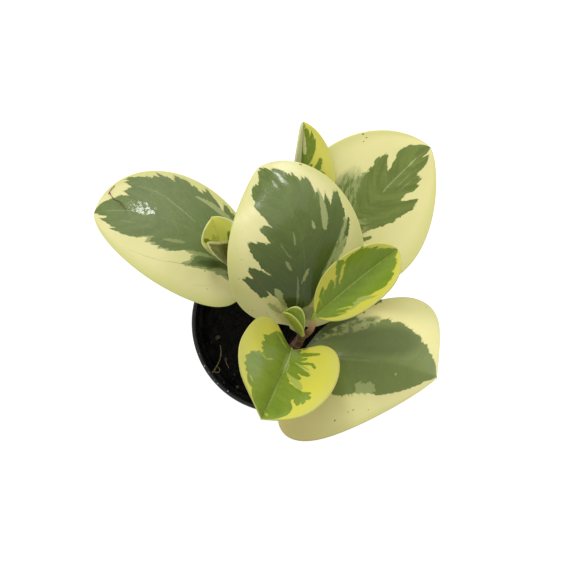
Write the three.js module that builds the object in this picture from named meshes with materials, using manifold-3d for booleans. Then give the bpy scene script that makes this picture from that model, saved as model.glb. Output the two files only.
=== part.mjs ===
// A variegated peperomia in a small round nursery pot: three short stems and ten thick,
// oval leaves, of which four are grown, three are young and three are still opening.
//
// Millimetres, +Z up. The origin is the middle of the pot's flat underside.
// Angles are in degrees. A heading is measured from +X towards +Y, seen from above.

import * as THREE from 'three';
import { mergeVertices } from 'three/addons/utils/BufferGeometryUtils.js';
import Module from 'manifold-3d';

const wasm = await Module();
wasm.setup();

// ---- driving dimensions ---------------------------------------------------------------

const GAP = 0.3;                      // between pieces that touch

const POT = {
  height: 80,
  rimRadius: 45,                      // outside of the rolled lip
  lipHeight: 2.4,
  lipWidth: 2,
  lipRound: 0.6,
  collarRadius: 43.8,                 // outside of the straight band below the lip
  collarFoot: 64,                     // height at which the collar steps in
  draft: 0.3,                         // how far the collar opens towards the lip
  stepIn: 1.6,
  baseRadius: 31,
  wall: 1.4,
  footRise: 1.6,                      // the floor is lifted off the ground between the feet
  footWidth: 4,
  bossRadius: 9,
  segments: 48,
};
const DRAIN = { count: 6, radius: 3.5, ring: 18 };

const SOIL = { level: 64, lump: 1.1, rings: 10, sectors: POT.segments };

// Each stem is a route of points and the radius at each of them.
const STEMS = {
  stem_front: {
    route: [
      [2, -18, 55], [3, -17, 74], [4.5, -15.2, 87], [6, -13, 97], [8.2, -10.2, 104], [10.1, -6.9, 110],
    ],
    radii: [2.4, 2.5, 2.5, 2.6, 2.3, 1.9],
  },
  stem_left: {
    route: [
      [-4, 7, 55], [-4.5, 8.5, 74], [-6.5, 11, 86], [-12, 16, 96], [-18, 22, 99.5], [-22, 25.2, 100],
    ],
    radii: [2.3, 2.3, 2.2, 1.8, 1.6, 1.5],
  },
  stem_back: {
    route: [[9, 12, 55], [10, 14, 74], [10.5, 18, 86], [9.5, 24, 95.5], [8.4, 33, 100.2]],
    radii: [2.3, 2.3, 2.1, 1.8, 1.5],
  },
};

// A leaf's blade starts at base and its midrib runs for length, turning by sweep and
// falling by droop on the way. roll tips the blade about its midrib, a positive roll lifting
// the left half, and changes by twist towards the tip. fold is the angle at which each half
// rises from the midrib, and curl is what is added to it at the margin. Each half has its
// greatest width, the two powers that round it towards the base and the tip, and a lobe
// that reaches back beside the petiole. skew slides the left half forward and the right
// half back. petiole lists the points from the middle of the stem towards the base.
const LEAVES = {
  leaf_centre: {
    stem: 'stem_front', colour: 0x8f9b62,
    petiole: [[8.8, -9.2, 105], [8.9, -6.2, 106]], petioleRadius: 1.5,
    base: [5, -3.3, 105], length: 86, heading: 72, sweep: 58, pitch: 47, droop: 77,
    roll: 15, twist: -16, fold: -4,
    left: { width: 33, toBase: 0.43, toTip: 0.63, curl: 6, lobe: 5 },
    right: { width: 32, toBase: 0.52, toTip: 0.63, curl: 2, lobe: 5 },
  },
  leaf_left: {
    stem: 'stem_left', colour: 0xb9bd7c,
    petiole: [[-6, 10.5, 84], [-10.5, 14.8, 89]], petioleRadius: 1.6,
    base: [-15.7, 18.5, 93], length: 86.5, heading: 134, sweep: 44, pitch: 17, droop: 32,
    roll: 15, twist: 9, fold: -3,
    left: { width: 28.5, toBase: 0.49, toTip: 0.66, curl: -1, lobe: 13 },
    right: { width: 29.5, toBase: 0.71, toTip: 0.47, curl: 10, lobe: 13 },
  },
  leaf_back_right: {
    stem: 'stem_back', colour: 0xc3c684,
    petiole: [[10.3, 16, 79], [12.3, 19, 85.5]], petioleRadius: 1.6,
    base: [15, 22, 90], length: 85.5, heading: 56, sweep: -18, pitch: 18, droop: 18,
    roll: 1, twist: 3, fold: -2,
    left: { width: 34.5, toBase: 0.59, toTip: 0.63, curl: 8, lobe: 0 },
    right: { width: 34.5, toBase: 0.51, toTip: 0.71, curl: 7, lobe: 0 },
  },
  leaf_low_right: {
    stem: 'stem_front', colour: 0xa9af74,
    petiole: [[4.4, -15.4, 85], [6.6, -18.4, 91]], petioleRadius: 1.6,
    base: [8.3, -17.8, 96], length: 72.5, heading: 2, sweep: -21, pitch: 28, droop: 66,
    roll: -19, twist: 4, fold: -18, skew: 13,
    left: { width: 44, toBase: 0.42, toTip: 0.2, curl: -2, lobe: 0 },
    right: { width: 41.5, toBase: 0.36, toTip: 0.81, curl: -14, lobe: 14 },
  },
  leaf_front: {
    stem: 'stem_front', colour: 0x9fae3e,
    petiole: [[5.4, -14, 92], [4.4, -16.6, 98]], petioleRadius: 1.5,
    base: [4.6, -14.5, 104], length: 51, heading: -108, sweep: -10, pitch: 49, droop: 2,
    roll: -11, twist: 2, fold: 39,
    left: { width: 28, toBase: 0.29, toTip: 0.32, curl: 6, lobe: 5 },
    right: { width: 32.5, toBase: 0.28, toTip: 0.17, curl: -7, lobe: 5 },
  },
  leaf_small_right: {
    stem: 'stem_front', colour: 0x86a030,
    petiole: [[10.2, -8, 106.5], [13.6, -5.3, 110.6]], petioleRadius: 1.5,
    base: [16, 1, 115], length: 51.5, heading: 42, sweep: -7, pitch: 25, droop: -2,
    roll: -5, twist: 12, fold: 20,
    left: { width: 15.5, toBase: 0.77, toTip: 0.56, curl: 30, lobe: 0 },
    right: { width: 18, toBase: 0.73, toTip: 0.53, curl: 44, lobe: 0 },
  },
  leaf_top_folded: {
    stem: 'stem_back', colour: 0xb4b850,
    petiole: [[8.4, 32, 99.8], [8.3, 37, 101.2]], petioleRadius: 1.3,
    base: [8.5, 42, 102], length: 53, heading: 90, sweep: -4, pitch: 10, droop: 2,
    roll: 12, twist: 30, fold: 30,
    left: { width: 10.5, toBase: 0.55, toTip: 0.59, curl: 28, lobe: 0 },
    right: { width: 17, toBase: 0.53, toTip: 0.62, curl: 8, lobe: 0 },
  },
  bud_centre: {
    stem: 'stem_front', colour: 0x93a93a,
    petiole: [[10, -7, 109.5], [9.9, -7.1, 111]], petioleRadius: 1.1,
    base: [10, -7.2, 112.6], length: 14.5, heading: 134, sweep: 0, pitch: 26, droop: 4,
    roll: 46, twist: 0, fold: 58,
    left: { width: 6, toBase: 0.5, toTip: 0.3, curl: 34, lobe: 0 },
    right: { width: 8.2, toBase: 0.85, toTip: 0.37, curl: 12, lobe: 0 },
  },
  bud_left_outer: {
    stem: 'stem_left', colour: 0xb7b956,
    petiole: [[-21, 24.4, 99.8], [-23.6, 26.2, 99.9]], petioleRadius: 1.2,
    base: [-26, 28, 100], length: 25, heading: 111, sweep: -8, pitch: 30, droop: 12,
    roll: 0, twist: 0, fold: 30,
    left: { width: 12, toBase: 0.85, toTip: 0.3, curl: 36, lobe: 0 },
    right: { width: 13, toBase: 0.75, toTip: 0.18, curl: 14, lobe: 0 },
  },
  bud_left_inner: {
    stem: 'stem_left', colour: 0x7c8434,
    petiole: [[-19.4, 23.2, 99.6], [-20.9, 24.2, 103.4]], petioleRadius: 1,
    base: [-25.4, 26, 106.8], length: 14, heading: 114, sweep: -6, pitch: 60, droop: 40,
    roll: 0, twist: 0, fold: -16,
    left: { width: 6.4, toBase: 0.8, toTip: 0.14, curl: -6, lobe: 0 },
    right: { width: 7, toBase: 0.7, toTip: 0.14, curl: -24, lobe: 0 },
  },
};

const BLADE = {
  thickness: 1.3,                     // at the midrib
  marginThickness: 0.8,
  tipWidth: 0.5,                      // half width at the tip's end
  stations: 13,                       // steps along the midrib
  columns: 4,                         // steps from the midrib to each margin
  keelEnd: 0.45,                      // share of the midrib that the petiole runs on under
  keelRadius: 0.6,
  sink: 0.5,                          // how far the petiole's middle lies below the blade's
};

const COLOURS = { pot: 0x0c0c0d, soil: 0x17110d, stem: 0x5a3b34 };

// ---- solids ---------------------------------------------------------------------------

/** Turns a closed geometry into a solid that can be cut and joined. */
function solidOf(geometry) {
  const bare = geometry.clone();
  bare.deleteAttribute('normal');
  bare.deleteAttribute('uv');
  const merged = mergeVertices(bare, 1e-4);
  return new wasm.Manifold(new wasm.Mesh({
    numProp: 3,
    vertProperties: new Float32Array(merged.attributes.position.array),
    triVerts: new Uint32Array(merged.index.array),
  }));
}

/** Turns a solid back into a geometry. */
function geometryOf(solid) {
  const mesh = solid.getMesh();
  const geometry = new THREE.BufferGeometry();
  geometry.setAttribute('position', new THREE.BufferAttribute(new Float32Array(mesh.vertProperties), 3));
  geometry.setIndex(new THREE.BufferAttribute(new Uint32Array(mesh.triVerts), 1));
  geometry.computeVertexNormals();
  return geometry;
}

/** Makes a geometry from a list of points and a list of triangles. */
function geometryFrom(points, triangles) {
  const geometry = new THREE.BufferGeometry();
  geometry.setAttribute('position', new THREE.Float32BufferAttribute(points.flatMap((p) => p.toArray()), 3));
  geometry.setIndex(triangles);
  geometry.computeVertexNormals();
  return geometry;
}

const radians = THREE.MathUtils.degToRad;
const vector = (xyz) => new THREE.Vector3(...xyz);

/** A round rod along a smooth route, whose radius changes from point to point. */
function rod(route, radii, { steps = 14, sides = 10 } = {}) {
  const curve = new THREE.CatmullRomCurve3(route, false, 'centripetal');
  const frames = curve.computeFrenetFrames(steps, false);
  const knots = route.map((_, i) => i / (route.length - 1));
  const points = [];
  const triangles = [];
  for (let i = 0; i <= steps; i += 1) {
    const share = curve.getUtoTmapping(i / steps);
    const after = Math.max(1, knots.findIndex((k) => k >= share - 1e-9));
    const mix = (share - knots[after - 1]) / (knots[after] - knots[after - 1]);
    const radius = THREE.MathUtils.lerp(radii[after - 1], radii[after], mix);
    const centre = curve.getPoint(share);
    for (let j = 0; j < sides; j += 1) {
      const angle = (2 * Math.PI * j) / sides;
      points.push(centre.clone()
        .addScaledVector(frames.normals[i], radius * Math.cos(angle))
        .addScaledVector(frames.binormals[i], radius * Math.sin(angle)));
    }
  }
  for (let i = 0; i < steps; i += 1) {
    for (let j = 0; j < sides; j += 1) {
      const a = i * sides + j;
      const b = i * sides + ((j + 1) % sides);
      triangles.push(a, b, b + sides, a, b + sides, a + sides);
    }
  }
  const first = points.push(curve.getPoint(0)) - 1;
  const last = points.push(curve.getPoint(1)) - 1;
  for (let j = 0; j < sides; j += 1) {
    const next = (j + 1) % sides;
    triangles.push(first, next, j, last, steps * sides + j, steps * sides + next);
  }
  return geometryFrom(points, triangles);
}

// ---- pot and soil ---------------------------------------------------------------------

/** Inside radius of the pot's wall at a height. */
function innerRadius(height) {
  const slope = (POT.collarRadius - POT.stepIn - POT.baseRadius) / POT.collarFoot;
  const outer = height < POT.collarFoot ? POT.baseRadius + slope * height : POT.collarRadius;
  return outer - POT.wall;
}

function makePot() {
  const { height, rimRadius, lipHeight, lipWidth, lipRound, collarRadius, collarFoot, draft } = POT;
  const { stepIn, baseRadius, wall, footRise, footWidth, bossRadius, segments } = POT;
  const floor = footRise + wall;
  const profile = [
    [0, 0], [bossRadius, 0], [bossRadius + footRise, footRise],
    [baseRadius - footWidth - footRise, footRise], [baseRadius - footWidth, 0], [baseRadius - 1, 0],
    [baseRadius, 1], [collarRadius - stepIn, collarFoot - stepIn], [collarRadius, collarFoot],
    [collarRadius + draft, height - lipHeight], [rimRadius, height - lipHeight + lipRound],
    [rimRadius, height - lipRound], [rimRadius - lipRound, height],
    [rimRadius - lipWidth + lipRound, height], [rimRadius - lipWidth, height - lipRound],
    [innerRadius(collarFoot), collarFoot],
    [innerRadius(collarFoot - stepIn), collarFoot - stepIn], [innerRadius(floor), floor], [0, floor],
  ].map(([r, z]) => new THREE.Vector2(r, z));
  const shell = new THREE.LatheGeometry(profile, segments).rotateX(Math.PI / 2);
  let pot = solidOf(shell);
  const drill = new THREE.CylinderGeometry(DRAIN.radius, DRAIN.radius, 4 * floor, 16);
  drill.rotateX(Math.PI / 2);
  for (let i = 0; i < DRAIN.count; i += 1) {
    const angle = (2 * Math.PI * i) / DRAIN.count;
    const hole = drill.clone().translate(DRAIN.ring * Math.cos(angle), DRAIN.ring * Math.sin(angle), 0);
    pot = pot.subtract(solidOf(hole));
  }
  return geometryOf(pot);
}

/** Height of the lumpy soil above or below its level at a place. */
function soilLump(x, y) {
  return SOIL.lump * (0.6 * Math.sin(0.42 * x + 1.3) * Math.cos(0.37 * y - 0.4)
    + 0.45 * Math.sin(0.23 * x - 0.51 * y) + 0.35 * Math.cos(0.71 * x + 0.33 * y + 2));
}

function makeSoil() {
  const { level, rings, sectors } = SOIL;
  const floor = POT.footRise + POT.wall + GAP;
  const points = [new THREE.Vector3(0, 0, level + soilLump(0, 0))];
  const triangles = [];
  const ringAt = (radius, heightAt) => {
    for (let j = 0; j < sectors; j += 1) {
      const angle = (2 * Math.PI * j) / sectors;
      const x = radius * Math.cos(angle);
      const y = radius * Math.sin(angle);
      points.push(new THREE.Vector3(x, y, heightAt(x, y)));
    }
  };
  const topRadius = innerRadius(POT.collarFoot - POT.stepIn) - GAP;
  for (let i = 1; i < rings; i += 1) {
    ringAt((topRadius * i) / rings, (x, y) => level + soilLump(x, y));
  }
  ringAt(topRadius, () => level - POT.stepIn);
  ringAt(innerRadius(floor) - GAP, () => floor);
  const bottom = points.push(new THREE.Vector3(0, 0, floor)) - 1;
  for (let j = 0; j < sectors; j += 1) {
    const next = (j + 1) % sectors;
    triangles.push(0, 1 + j, 1 + next);
    for (let i = 0; i < rings; i += 1) {
      const a = 1 + i * sectors;
      triangles.push(a + j, a + sectors + j, a + sectors + next, a + j, a + sectors + next, a + next);
    }
    triangles.push(bottom, 1 + rings * sectors + next, 1 + rings * sectors + j);
  }
  let soil = solidOf(geometryFrom(points, triangles));
  for (const stem of Object.values(STEMS)) {
    soil = soil.subtract(solidOf(stemGeometry(stem, GAP)));
  }
  return geometryOf(soil);
}

// ---- stems ----------------------------------------------------------------------------

/** A stem's rod, made larger all round by grow. */
function stemGeometry({ route, radii }, grow = 0) {
  const points = route.map(vector);
  const along = points[1].clone().sub(points[0]).normalize();
  points[0].addScaledVector(along, -grow);
  const end = points.length - 1;
  const out = points[end].clone().sub(points[end - 1]).normalize();
  points[end].addScaledVector(out, grow);
  return rod(points, radii.map((radius) => radius + grow));
}

// ---- leaves ---------------------------------------------------------------------------

/** Half width of a blade at a share of its length: rounded by one power at each end. */
function halfWidth({ width, toBase, toTip }, share) {
  const widest = toBase / (toBase + toTip);
  return width * (share / widest) ** toBase * ((1 - share) / (1 - widest)) ** toTip;
}

/** The midrib's direction, and the blade's left side and upper normal, at a share of its length. */
function frameAt(leaf, share) {
  const heading = radians(leaf.heading + leaf.sweep * share);
  const pitch = radians(leaf.pitch - leaf.droop * share);
  const roll = radians(leaf.roll + leaf.twist * share);
  const ahead = new THREE.Vector3(
    Math.cos(pitch) * Math.cos(heading), Math.cos(pitch) * Math.sin(heading), Math.sin(pitch));
  const level = new THREE.Vector3(-Math.sin(heading), Math.cos(heading), 0);
  const up = new THREE.Vector3().crossVectors(ahead, level);
  const left = level.clone().multiplyScalar(Math.cos(roll)).addScaledVector(up, Math.sin(roll));
  const normal = up.clone().multiplyScalar(Math.cos(roll)).addScaledVector(level, -Math.sin(roll));
  return { ahead, left, normal };
}

/** Stations along the midrib, closer together at both ends, each with its point and frame. */
function midribOf(leaf) {
  const substeps = 6;
  const point = vector(leaf.base);
  const shareOf = (i) => 0.5 * (1 - Math.cos((Math.PI * i) / (BLADE.stations * substeps)));
  const stations = [];
  for (let i = 0; i <= BLADE.stations * substeps; i += 1) {
    const share = shareOf(i);
    if (i % substeps === 0) {
      stations.push({ share, point: point.clone(), ...frameAt(leaf, share) });
    }
    const step = shareOf(i + 1) - share;
    point.addScaledVector(frameAt(leaf, share + step / 2).ahead, step * leaf.length);
  }
  return stations;
}

/** Point and upper normal of the blade at a station, u running from -1 (right) to 1 (left). */
function bladePoint(leaf, { share, point, ahead, left, normal }, u) {
  const half = u < 0 ? leaf.right : leaf.left;
  const side = Math.sign(u);
  const leastWidth = share < 0.5 ? leaf.petioleRadius : BLADE.tipWidth;
  const width = Math.max(halfWidth(half, share), leastWidth);
  const across = width * Math.abs(u);
  const fold = radians(leaf.fold);
  const bend = radians(half.curl || 1e-3) / half.width;
  const angle = fold + bend * across;
  const out = (Math.sin(angle) - Math.sin(fold)) / bend;
  const rise = (Math.cos(fold) - Math.cos(angle)) / bend;
  const taper = width / half.width;
  const slide = side * (leaf.skew ?? 0) * taper * Math.abs(u)
    - half.lobe * (1 - share) ** 4 * taper * u * u;
  return {
    place: point.clone()
      .addScaledVector(left, side * out)
      .addScaledVector(normal, rise)
      .addScaledVector(ahead, slide),
    up: normal.clone()
      .multiplyScalar(side ? Math.cos(angle) : 1)
      .addScaledVector(left, -side * Math.sin(angle)),
  };
}

/** The blade as a closed slab, split into the same triangles above and below. */
function bladeGeometry(leaf, stations) {
  const columns = 2 * BLADE.columns + 1;
  const above = [];
  const below = [];
  for (const station of stations) {
    for (let j = 0; j < columns; j += 1) {
      const u = j / BLADE.columns - 1;
      const thickness = THREE.MathUtils.lerp(BLADE.thickness, BLADE.marginThickness, Math.abs(u) ** 3);
      const { place, up } = bladePoint(leaf, station, u);
      above.push(place.clone().addScaledVector(up, thickness / 2));
      below.push(place.clone().addScaledVector(up, -thickness / 2));
    }
  }
  const under = above.length;
  const triangles = [];
  const wall = (a, b) => triangles.push(a, under + a, under + b, a, under + b, b);
  for (let i = 0; i + 1 < stations.length; i += 1) {
    for (let j = 0; j + 1 < columns; j += 1) {
      const a = i * columns + j;
      const b = a + columns;
      triangles.push(a, b, b + 1, a, b + 1, a + 1);
      triangles.push(under + a, under + b + 1, under + b, under + a, under + a + 1, under + b + 1);
    }
    wall(i * columns, (i + 1) * columns);
    wall((i + 2) * columns - 1, (i + 1) * columns - 1);
  }
  const lastRow = (stations.length - 1) * columns;
  for (let j = 0; j + 1 < columns; j += 1) {
    wall(j + 1, j);
    wall(lastRow + j, lastRow + j + 1);
  }
  return geometryFrom([...above, ...below], triangles);
}

/** The petiole, which runs on under the blade as its keel and thins out there. */
function petioleGeometry(leaf, stations) {
  const keel = stations.filter(({ share }) => share > 0.01 && share < BLADE.keelEnd);
  const radiusAt = (share) => THREE.MathUtils.lerp(
    leaf.petioleRadius, BLADE.keelRadius, share / BLADE.keelEnd);
  const lowerBy = ({ point, normal }, depth) => point.clone().addScaledVector(normal, -depth);
  const route = [
    ...leaf.petiole.map(vector), lowerBy(stations[0], BLADE.sink),
    ...keel.map((station) => lowerBy(station, BLADE.sink + radiusAt(station.share) / 3)),
  ];
  const radii = [
    ...leaf.petiole.map(() => leaf.petioleRadius), leaf.petioleRadius,
    ...keel.map(({ share }) => radiusAt(share)),
  ];
  return rod(route, radii, { steps: 9, sides: 6 });
}

/** Blade and petiole as one solid, cut back to leave the gap at the stem that carries it. */
function makeLeaf(leaf) {
  const stations = midribOf(leaf);
  const blade = solidOf(bladeGeometry(leaf, stations));
  const whole = blade.add(solidOf(petioleGeometry(leaf, stations)));
  const seated = whole.subtract(solidOf(stemGeometry(STEMS[leaf.stem], GAP)));
  const [largest] = seated.decompose().sort((a, b) => b.volume() - a.volume());
  return geometryOf(largest);
}

// ---- the plant in its pot -------------------------------------------------------------

const plant = new THREE.Group();

function addPiece(name, geometry, colour, roughness) {
  const material = new THREE.MeshStandardMaterial({ color: colour, roughness, metalness: 0 });
  const piece = new THREE.Mesh(geometry, material);
  piece.name = name;
  plant.add(piece);
}

addPiece('pot', makePot(), COLOURS.pot, 0.3);
addPiece('soil', makeSoil(), COLOURS.soil, 0.95);
for (const [name, stem] of Object.entries(STEMS)) {
  addPiece(name, stemGeometry(stem), COLOURS.stem, 0.5);
}
for (const [name, leaf] of Object.entries(LEAVES)) {
  addPiece(name, makeLeaf(leaf), leaf.colour, 0.35);
}

export default plant;
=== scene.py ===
"""The looks of a variegated peperomia in a small black nursery pot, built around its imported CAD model.

Sizes in the classes are millimetres and degrees, as in the part's source, and meshes are made in metres.
+Z is up and the origin is the middle of the pot's flat underside.
"""

import logging
import math
from dataclasses import dataclass, replace
from enum import Enum

import bpy
import numpy as np
from mathutils import Matrix, Vector


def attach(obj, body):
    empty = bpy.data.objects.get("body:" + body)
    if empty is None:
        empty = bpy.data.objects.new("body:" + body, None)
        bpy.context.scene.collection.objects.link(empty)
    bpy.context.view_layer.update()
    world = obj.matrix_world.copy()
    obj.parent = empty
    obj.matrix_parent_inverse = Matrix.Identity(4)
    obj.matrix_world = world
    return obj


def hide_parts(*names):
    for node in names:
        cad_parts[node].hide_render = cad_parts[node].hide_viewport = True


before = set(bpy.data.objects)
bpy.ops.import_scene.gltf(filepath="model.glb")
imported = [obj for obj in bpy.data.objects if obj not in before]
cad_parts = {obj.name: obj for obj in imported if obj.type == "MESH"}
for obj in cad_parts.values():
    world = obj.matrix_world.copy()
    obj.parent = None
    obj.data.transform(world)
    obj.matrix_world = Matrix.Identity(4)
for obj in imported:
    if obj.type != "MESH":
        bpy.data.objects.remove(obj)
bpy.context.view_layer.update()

LOG = logging.getLogger("peperomia")
MM = 0.001
BODY = "root"

Socket = bpy.types.NodeSocket
Value = Socket | float
Colour = tuple[float, float, float, float]
Point = tuple[float, float, float]
Reach = tuple[tuple[float, float], ...]
Lump = tuple[float, float, float, float]
Fed = dict[int | str, object]


class Slot(Enum):
    """The record's material slots."""

    POT = "pot_plastic"
    SOIL = "soil"
    STEM = "stem"
    GROWN = "leaf_grown"
    YOUNG = "leaf_young"


# ---- small maths ----


def shade(red: float, green: float, blue: float) -> Colour:
    """Turns a colour of 0 to 255 as seen on a screen into the linear colour that a shader takes.

    Args:
        red: Red, 0 to 255.
        green: Green, 0 to 255.
        blue: Blue, 0 to 255.

    Returns:
        The linear colour, opaque.
    """
    parts = [c / 255 for c in (red, green, blue)]
    linear = [c / 12.92 if c <= 0.04045 else ((c + 0.055) / 1.055) ** 2.4 for c in parts]
    return (linear[0], linear[1], linear[2], 1.0)


def ease(x: np.ndarray | float) -> np.ndarray:
    """Rises smoothly from 0 to 1 as x goes from 0 to 1."""
    held = np.clip(x, 0, 1)
    return held * held * (3 - 2 * held)


def lerp(a: np.ndarray | float, b: np.ndarray | float, share: np.ndarray | float) -> np.ndarray:
    """Mixes a and b by a share of 0 to 1."""
    return a + (b - a) * share


def smooth_route(points: list[Point], steps: int) -> tuple[np.ndarray, np.ndarray]:
    """Runs a smooth curve through points, with its knots spaced by the root of their distance.

    Args:
        points: The points that the curve passes through.
        steps: How many steps are taken between two points.

    Returns:
        The places on the curve, and for each the index of the point it has reached, in parts.
    """
    knots = [np.array(p, float) for p in points]
    knots = [2 * knots[0] - knots[1], *knots, 2 * knots[-1] - knots[-2]]
    places = []
    reached = []
    for i in range(1, len(knots) - 2):
        p0, p1, p2, p3 = knots[i - 1 : i + 3]
        t1 = math.sqrt(np.linalg.norm(p1 - p0))
        t2 = t1 + math.sqrt(np.linalg.norm(p2 - p1))
        t3 = t2 + math.sqrt(np.linalg.norm(p3 - p2))
        last = i == len(knots) - 3
        for k in range(steps + 1 if last else steps):
            t = t1 + (t2 - t1) * k / steps
            a1 = p0 + (p1 - p0) * t / t1
            a2 = p1 + (p2 - p1) * (t - t1) / (t2 - t1)
            a3 = p2 + (p3 - p2) * (t - t2) / (t3 - t2)
            b1 = a1 + (a2 - a1) * t / t2
            b2 = a2 + (a3 - a2) * (t - t1) / (t3 - t1)
            places.append(b1 + (b2 - b1) * (t - t1) / (t2 - t1))
            reached.append(i - 1 + k / steps)
    return np.array(places), np.array(reached)


def unit(vectors: np.ndarray) -> np.ndarray:
    """Gives vectors a length of one."""
    return vectors / np.linalg.norm(vectors, axis=-1, keepdims=True)


def round_rings(
    middles: np.ndarray, radii: np.ndarray | float, angles: np.ndarray, side: np.ndarray, top: np.ndarray
) -> np.ndarray:
    """Puts a round ring of points about each of a row of middles.

    Args:
        middles: The middle of each ring.
        radii: The radius of each ring, or of them all.
        angles: The angle of each place in a ring, from side towards top.
        side: A direction across the row at each ring.
        top: The direction at right angles to it.

    Returns:
        The points, by ring and by place in the ring.
    """
    wide = np.asarray(radii)[..., None, None]
    return (
        middles[:, None]
        + wide * np.cos(angles)[None, :, None] * side[:, None]
        + wide * np.sin(angles)[None, :, None] * top[:, None]
    )


def tube_rings(places: np.ndarray, radii: np.ndarray, sides: int, up: Point) -> np.ndarray:
    """Puts a ring of points round each place of a route and closes both ends.

    Args:
        places: The middle of each ring.
        radii: The radius of each ring.
        sides: How many points a ring has.
        up: A direction that the route never runs along, which keeps the rings from twisting.

    Returns:
        The rings, with a single repeated point before the first and after the last.
    """
    ahead = unit(np.gradient(places, axis=0))
    side = unit(np.cross(ahead, np.array(up, float)))
    top = np.cross(side, ahead)
    angles = np.linspace(0, 2 * math.pi, sides, endpoint=False)
    return closed_ends(round_rings(places, radii, angles, side, top))


def closed_ends(rings: np.ndarray) -> np.ndarray:
    """Adds a slightly domed pole before the first ring and after the last.

    Args:
        rings: The rings of points.

    Returns:
        The rings, with two more at each end.
    """
    first = lerp(rings[0], rings[0].mean(0), 0.5) + 0.12 * (rings[0].mean(0) - rings[1].mean(0))
    last = lerp(rings[-1], rings[-1].mean(0), 0.5) + 0.12 * (rings[-1].mean(0) - rings[-2].mean(0))
    poles = [np.broadcast_to(r.mean(0), r.shape) for r in (first, last)]
    return np.concatenate([poles[0][None], first[None], rings, last[None], poles[1][None]])


# ---- modelling ----


def deselect() -> None:
    """Leaves nothing selected, in object mode."""
    if bpy.context.object and bpy.context.object.mode != "OBJECT":
        bpy.ops.object.mode_set(mode="OBJECT")
    bpy.ops.object.select_all(action="DESELECT")


def pick(piece: bpy.types.Object) -> None:
    """Makes one piece the only one selected and the active one.

    Args:
        piece: The piece.
    """
    deselect()
    piece.select_set(True)
    bpy.context.view_layer.objects.active = piece


def wrapped_grid(name: str, rings: np.ndarray, around: np.ndarray, along: np.ndarray) -> bpy.types.Object:
    """Wraps a flat grid round a row of rings, which gives a closed skin.

    Args:
        name: Name of the piece.
        rings: Points in millimetres, by ring, by place in the ring, by axis.
        around: The upward value of the piece's UV map at each place in a ring.
        along: The sideways value of the piece's UV map at each ring.

    Returns:
        The piece, not yet merged along the seam.
    """
    count, places = rings.shape[:2]
    deselect()
    bpy.ops.mesh.primitive_grid_add(x_subdivisions=places, y_subdivisions=count - 1, size=1)
    piece = bpy.context.object
    piece.name = piece.data.name = name
    wrapped = np.concatenate([rings, rings[:, :1]], axis=1)
    piece.data.vertices.foreach_set("co", (wrapped * MM).ravel())
    corners = np.zeros(len(piece.data.loops), np.int32)
    piece.data.loops.foreach_get("vertex_index", corners)
    closed = np.append(around, around[0])
    layer = piece.data.uv_layers[0]
    layer.name = "surface"
    uv = np.stack([along[corners // (places + 1)], closed[corners % (places + 1)]], -1)
    layer.data.foreach_set("uv", uv.ravel())
    piece.data.update()
    return piece


def close_seam(piece: bpy.types.Object, angle: float = 60) -> bpy.types.Object:
    """Merges what a wrapped grid has double, points its faces outwards and smooths it.

    Args:
        piece: The wrapped grid.
        angle: Edges sharper than this, in degrees, stay sharp.

    Returns:
        The same piece.
    """
    pick(piece)
    bpy.ops.object.mode_set(mode="EDIT")
    bpy.ops.mesh.select_all(action="SELECT")
    bpy.ops.mesh.remove_doubles(threshold=1e-7)
    bpy.ops.mesh.normals_make_consistent(inside=False)
    bpy.ops.object.mode_set(mode="OBJECT")
    bpy.ops.object.shade_smooth_by_angle(angle=math.radians(angle))
    return piece


def give_attribute(piece: bpy.types.Object, name: str, values: np.ndarray) -> None:
    """Stores three numbers at each vertex of a wrapped grid, before its seam is merged.

    Args:
        piece: The wrapped grid.
        name: Name of the attribute.
        values: Three numbers, by ring and by place in the ring.
    """
    layer = piece.data.attributes.new(name, "FLOAT_VECTOR", "POINT")
    wrapped = np.concatenate([values, values[:, :1]], axis=1)
    layer.data.foreach_set("vector", wrapped.astype(np.float32).ravel())


def turned(name: str, profile: list[tuple[float, float]], sectors: int) -> bpy.types.Object:
    """Turns a profile about the upright axis: a circle is added, and extruded ring by ring.

    Args:
        name: Name of the piece.
        profile: Radius and height of each ring in millimetres. The first and last rings are closed.
        sectors: How many sides each ring has.

    Returns:
        The closed piece.
    """
    deselect()
    radius, height = profile[0]
    bpy.ops.mesh.primitive_circle_add(
        vertices=sectors, radius=radius * MM, location=(0, 0, height * MM), fill_type="TRIFAN"
    )
    piece = bpy.context.object
    piece.name = piece.data.name = name
    bpy.ops.object.transform_apply(location=True, rotation=False, scale=False)
    bpy.ops.object.mode_set(mode="EDIT")
    bpy.ops.mesh.select_all(action="SELECT")
    bpy.ops.mesh.region_to_loop()
    for next_radius, next_height in profile[1:]:
        bpy.ops.mesh.extrude_edges_move(
            TRANSFORM_OT_translate={"value": (0, 0, (next_height - height) * MM)}
        )
        if next_radius != radius:
            share = next_radius / radius
            bpy.ops.transform.resize(value=(share, share, 1), center_override=(0, 0, next_height * MM))
        radius, height = next_radius, next_height
    bpy.ops.mesh.extrude_edges_move(TRANSFORM_OT_translate={"value": (0, 0, 0)})
    bpy.ops.mesh.merge(type="CENTER")
    bpy.ops.mesh.select_all(action="SELECT")
    bpy.ops.mesh.normals_make_consistent(inside=False)
    bpy.ops.object.mode_set(mode="OBJECT")
    return piece


def cut(piece: bpy.types.Object, cutter: bpy.types.Object) -> None:
    """Takes one solid out of another and deletes the cutter.

    Args:
        piece: The solid that is cut.
        cutter: The solid that is taken out of it.
    """
    pick(piece)
    cutting = piece.modifiers.new("cut", "BOOLEAN")
    cutting.operation = "DIFFERENCE"
    cutting.solver = "EXACT"
    cutting.object = cutter
    bpy.ops.object.modifier_apply(modifier=cutting.name)
    bpy.data.objects.remove(cutter)


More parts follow.
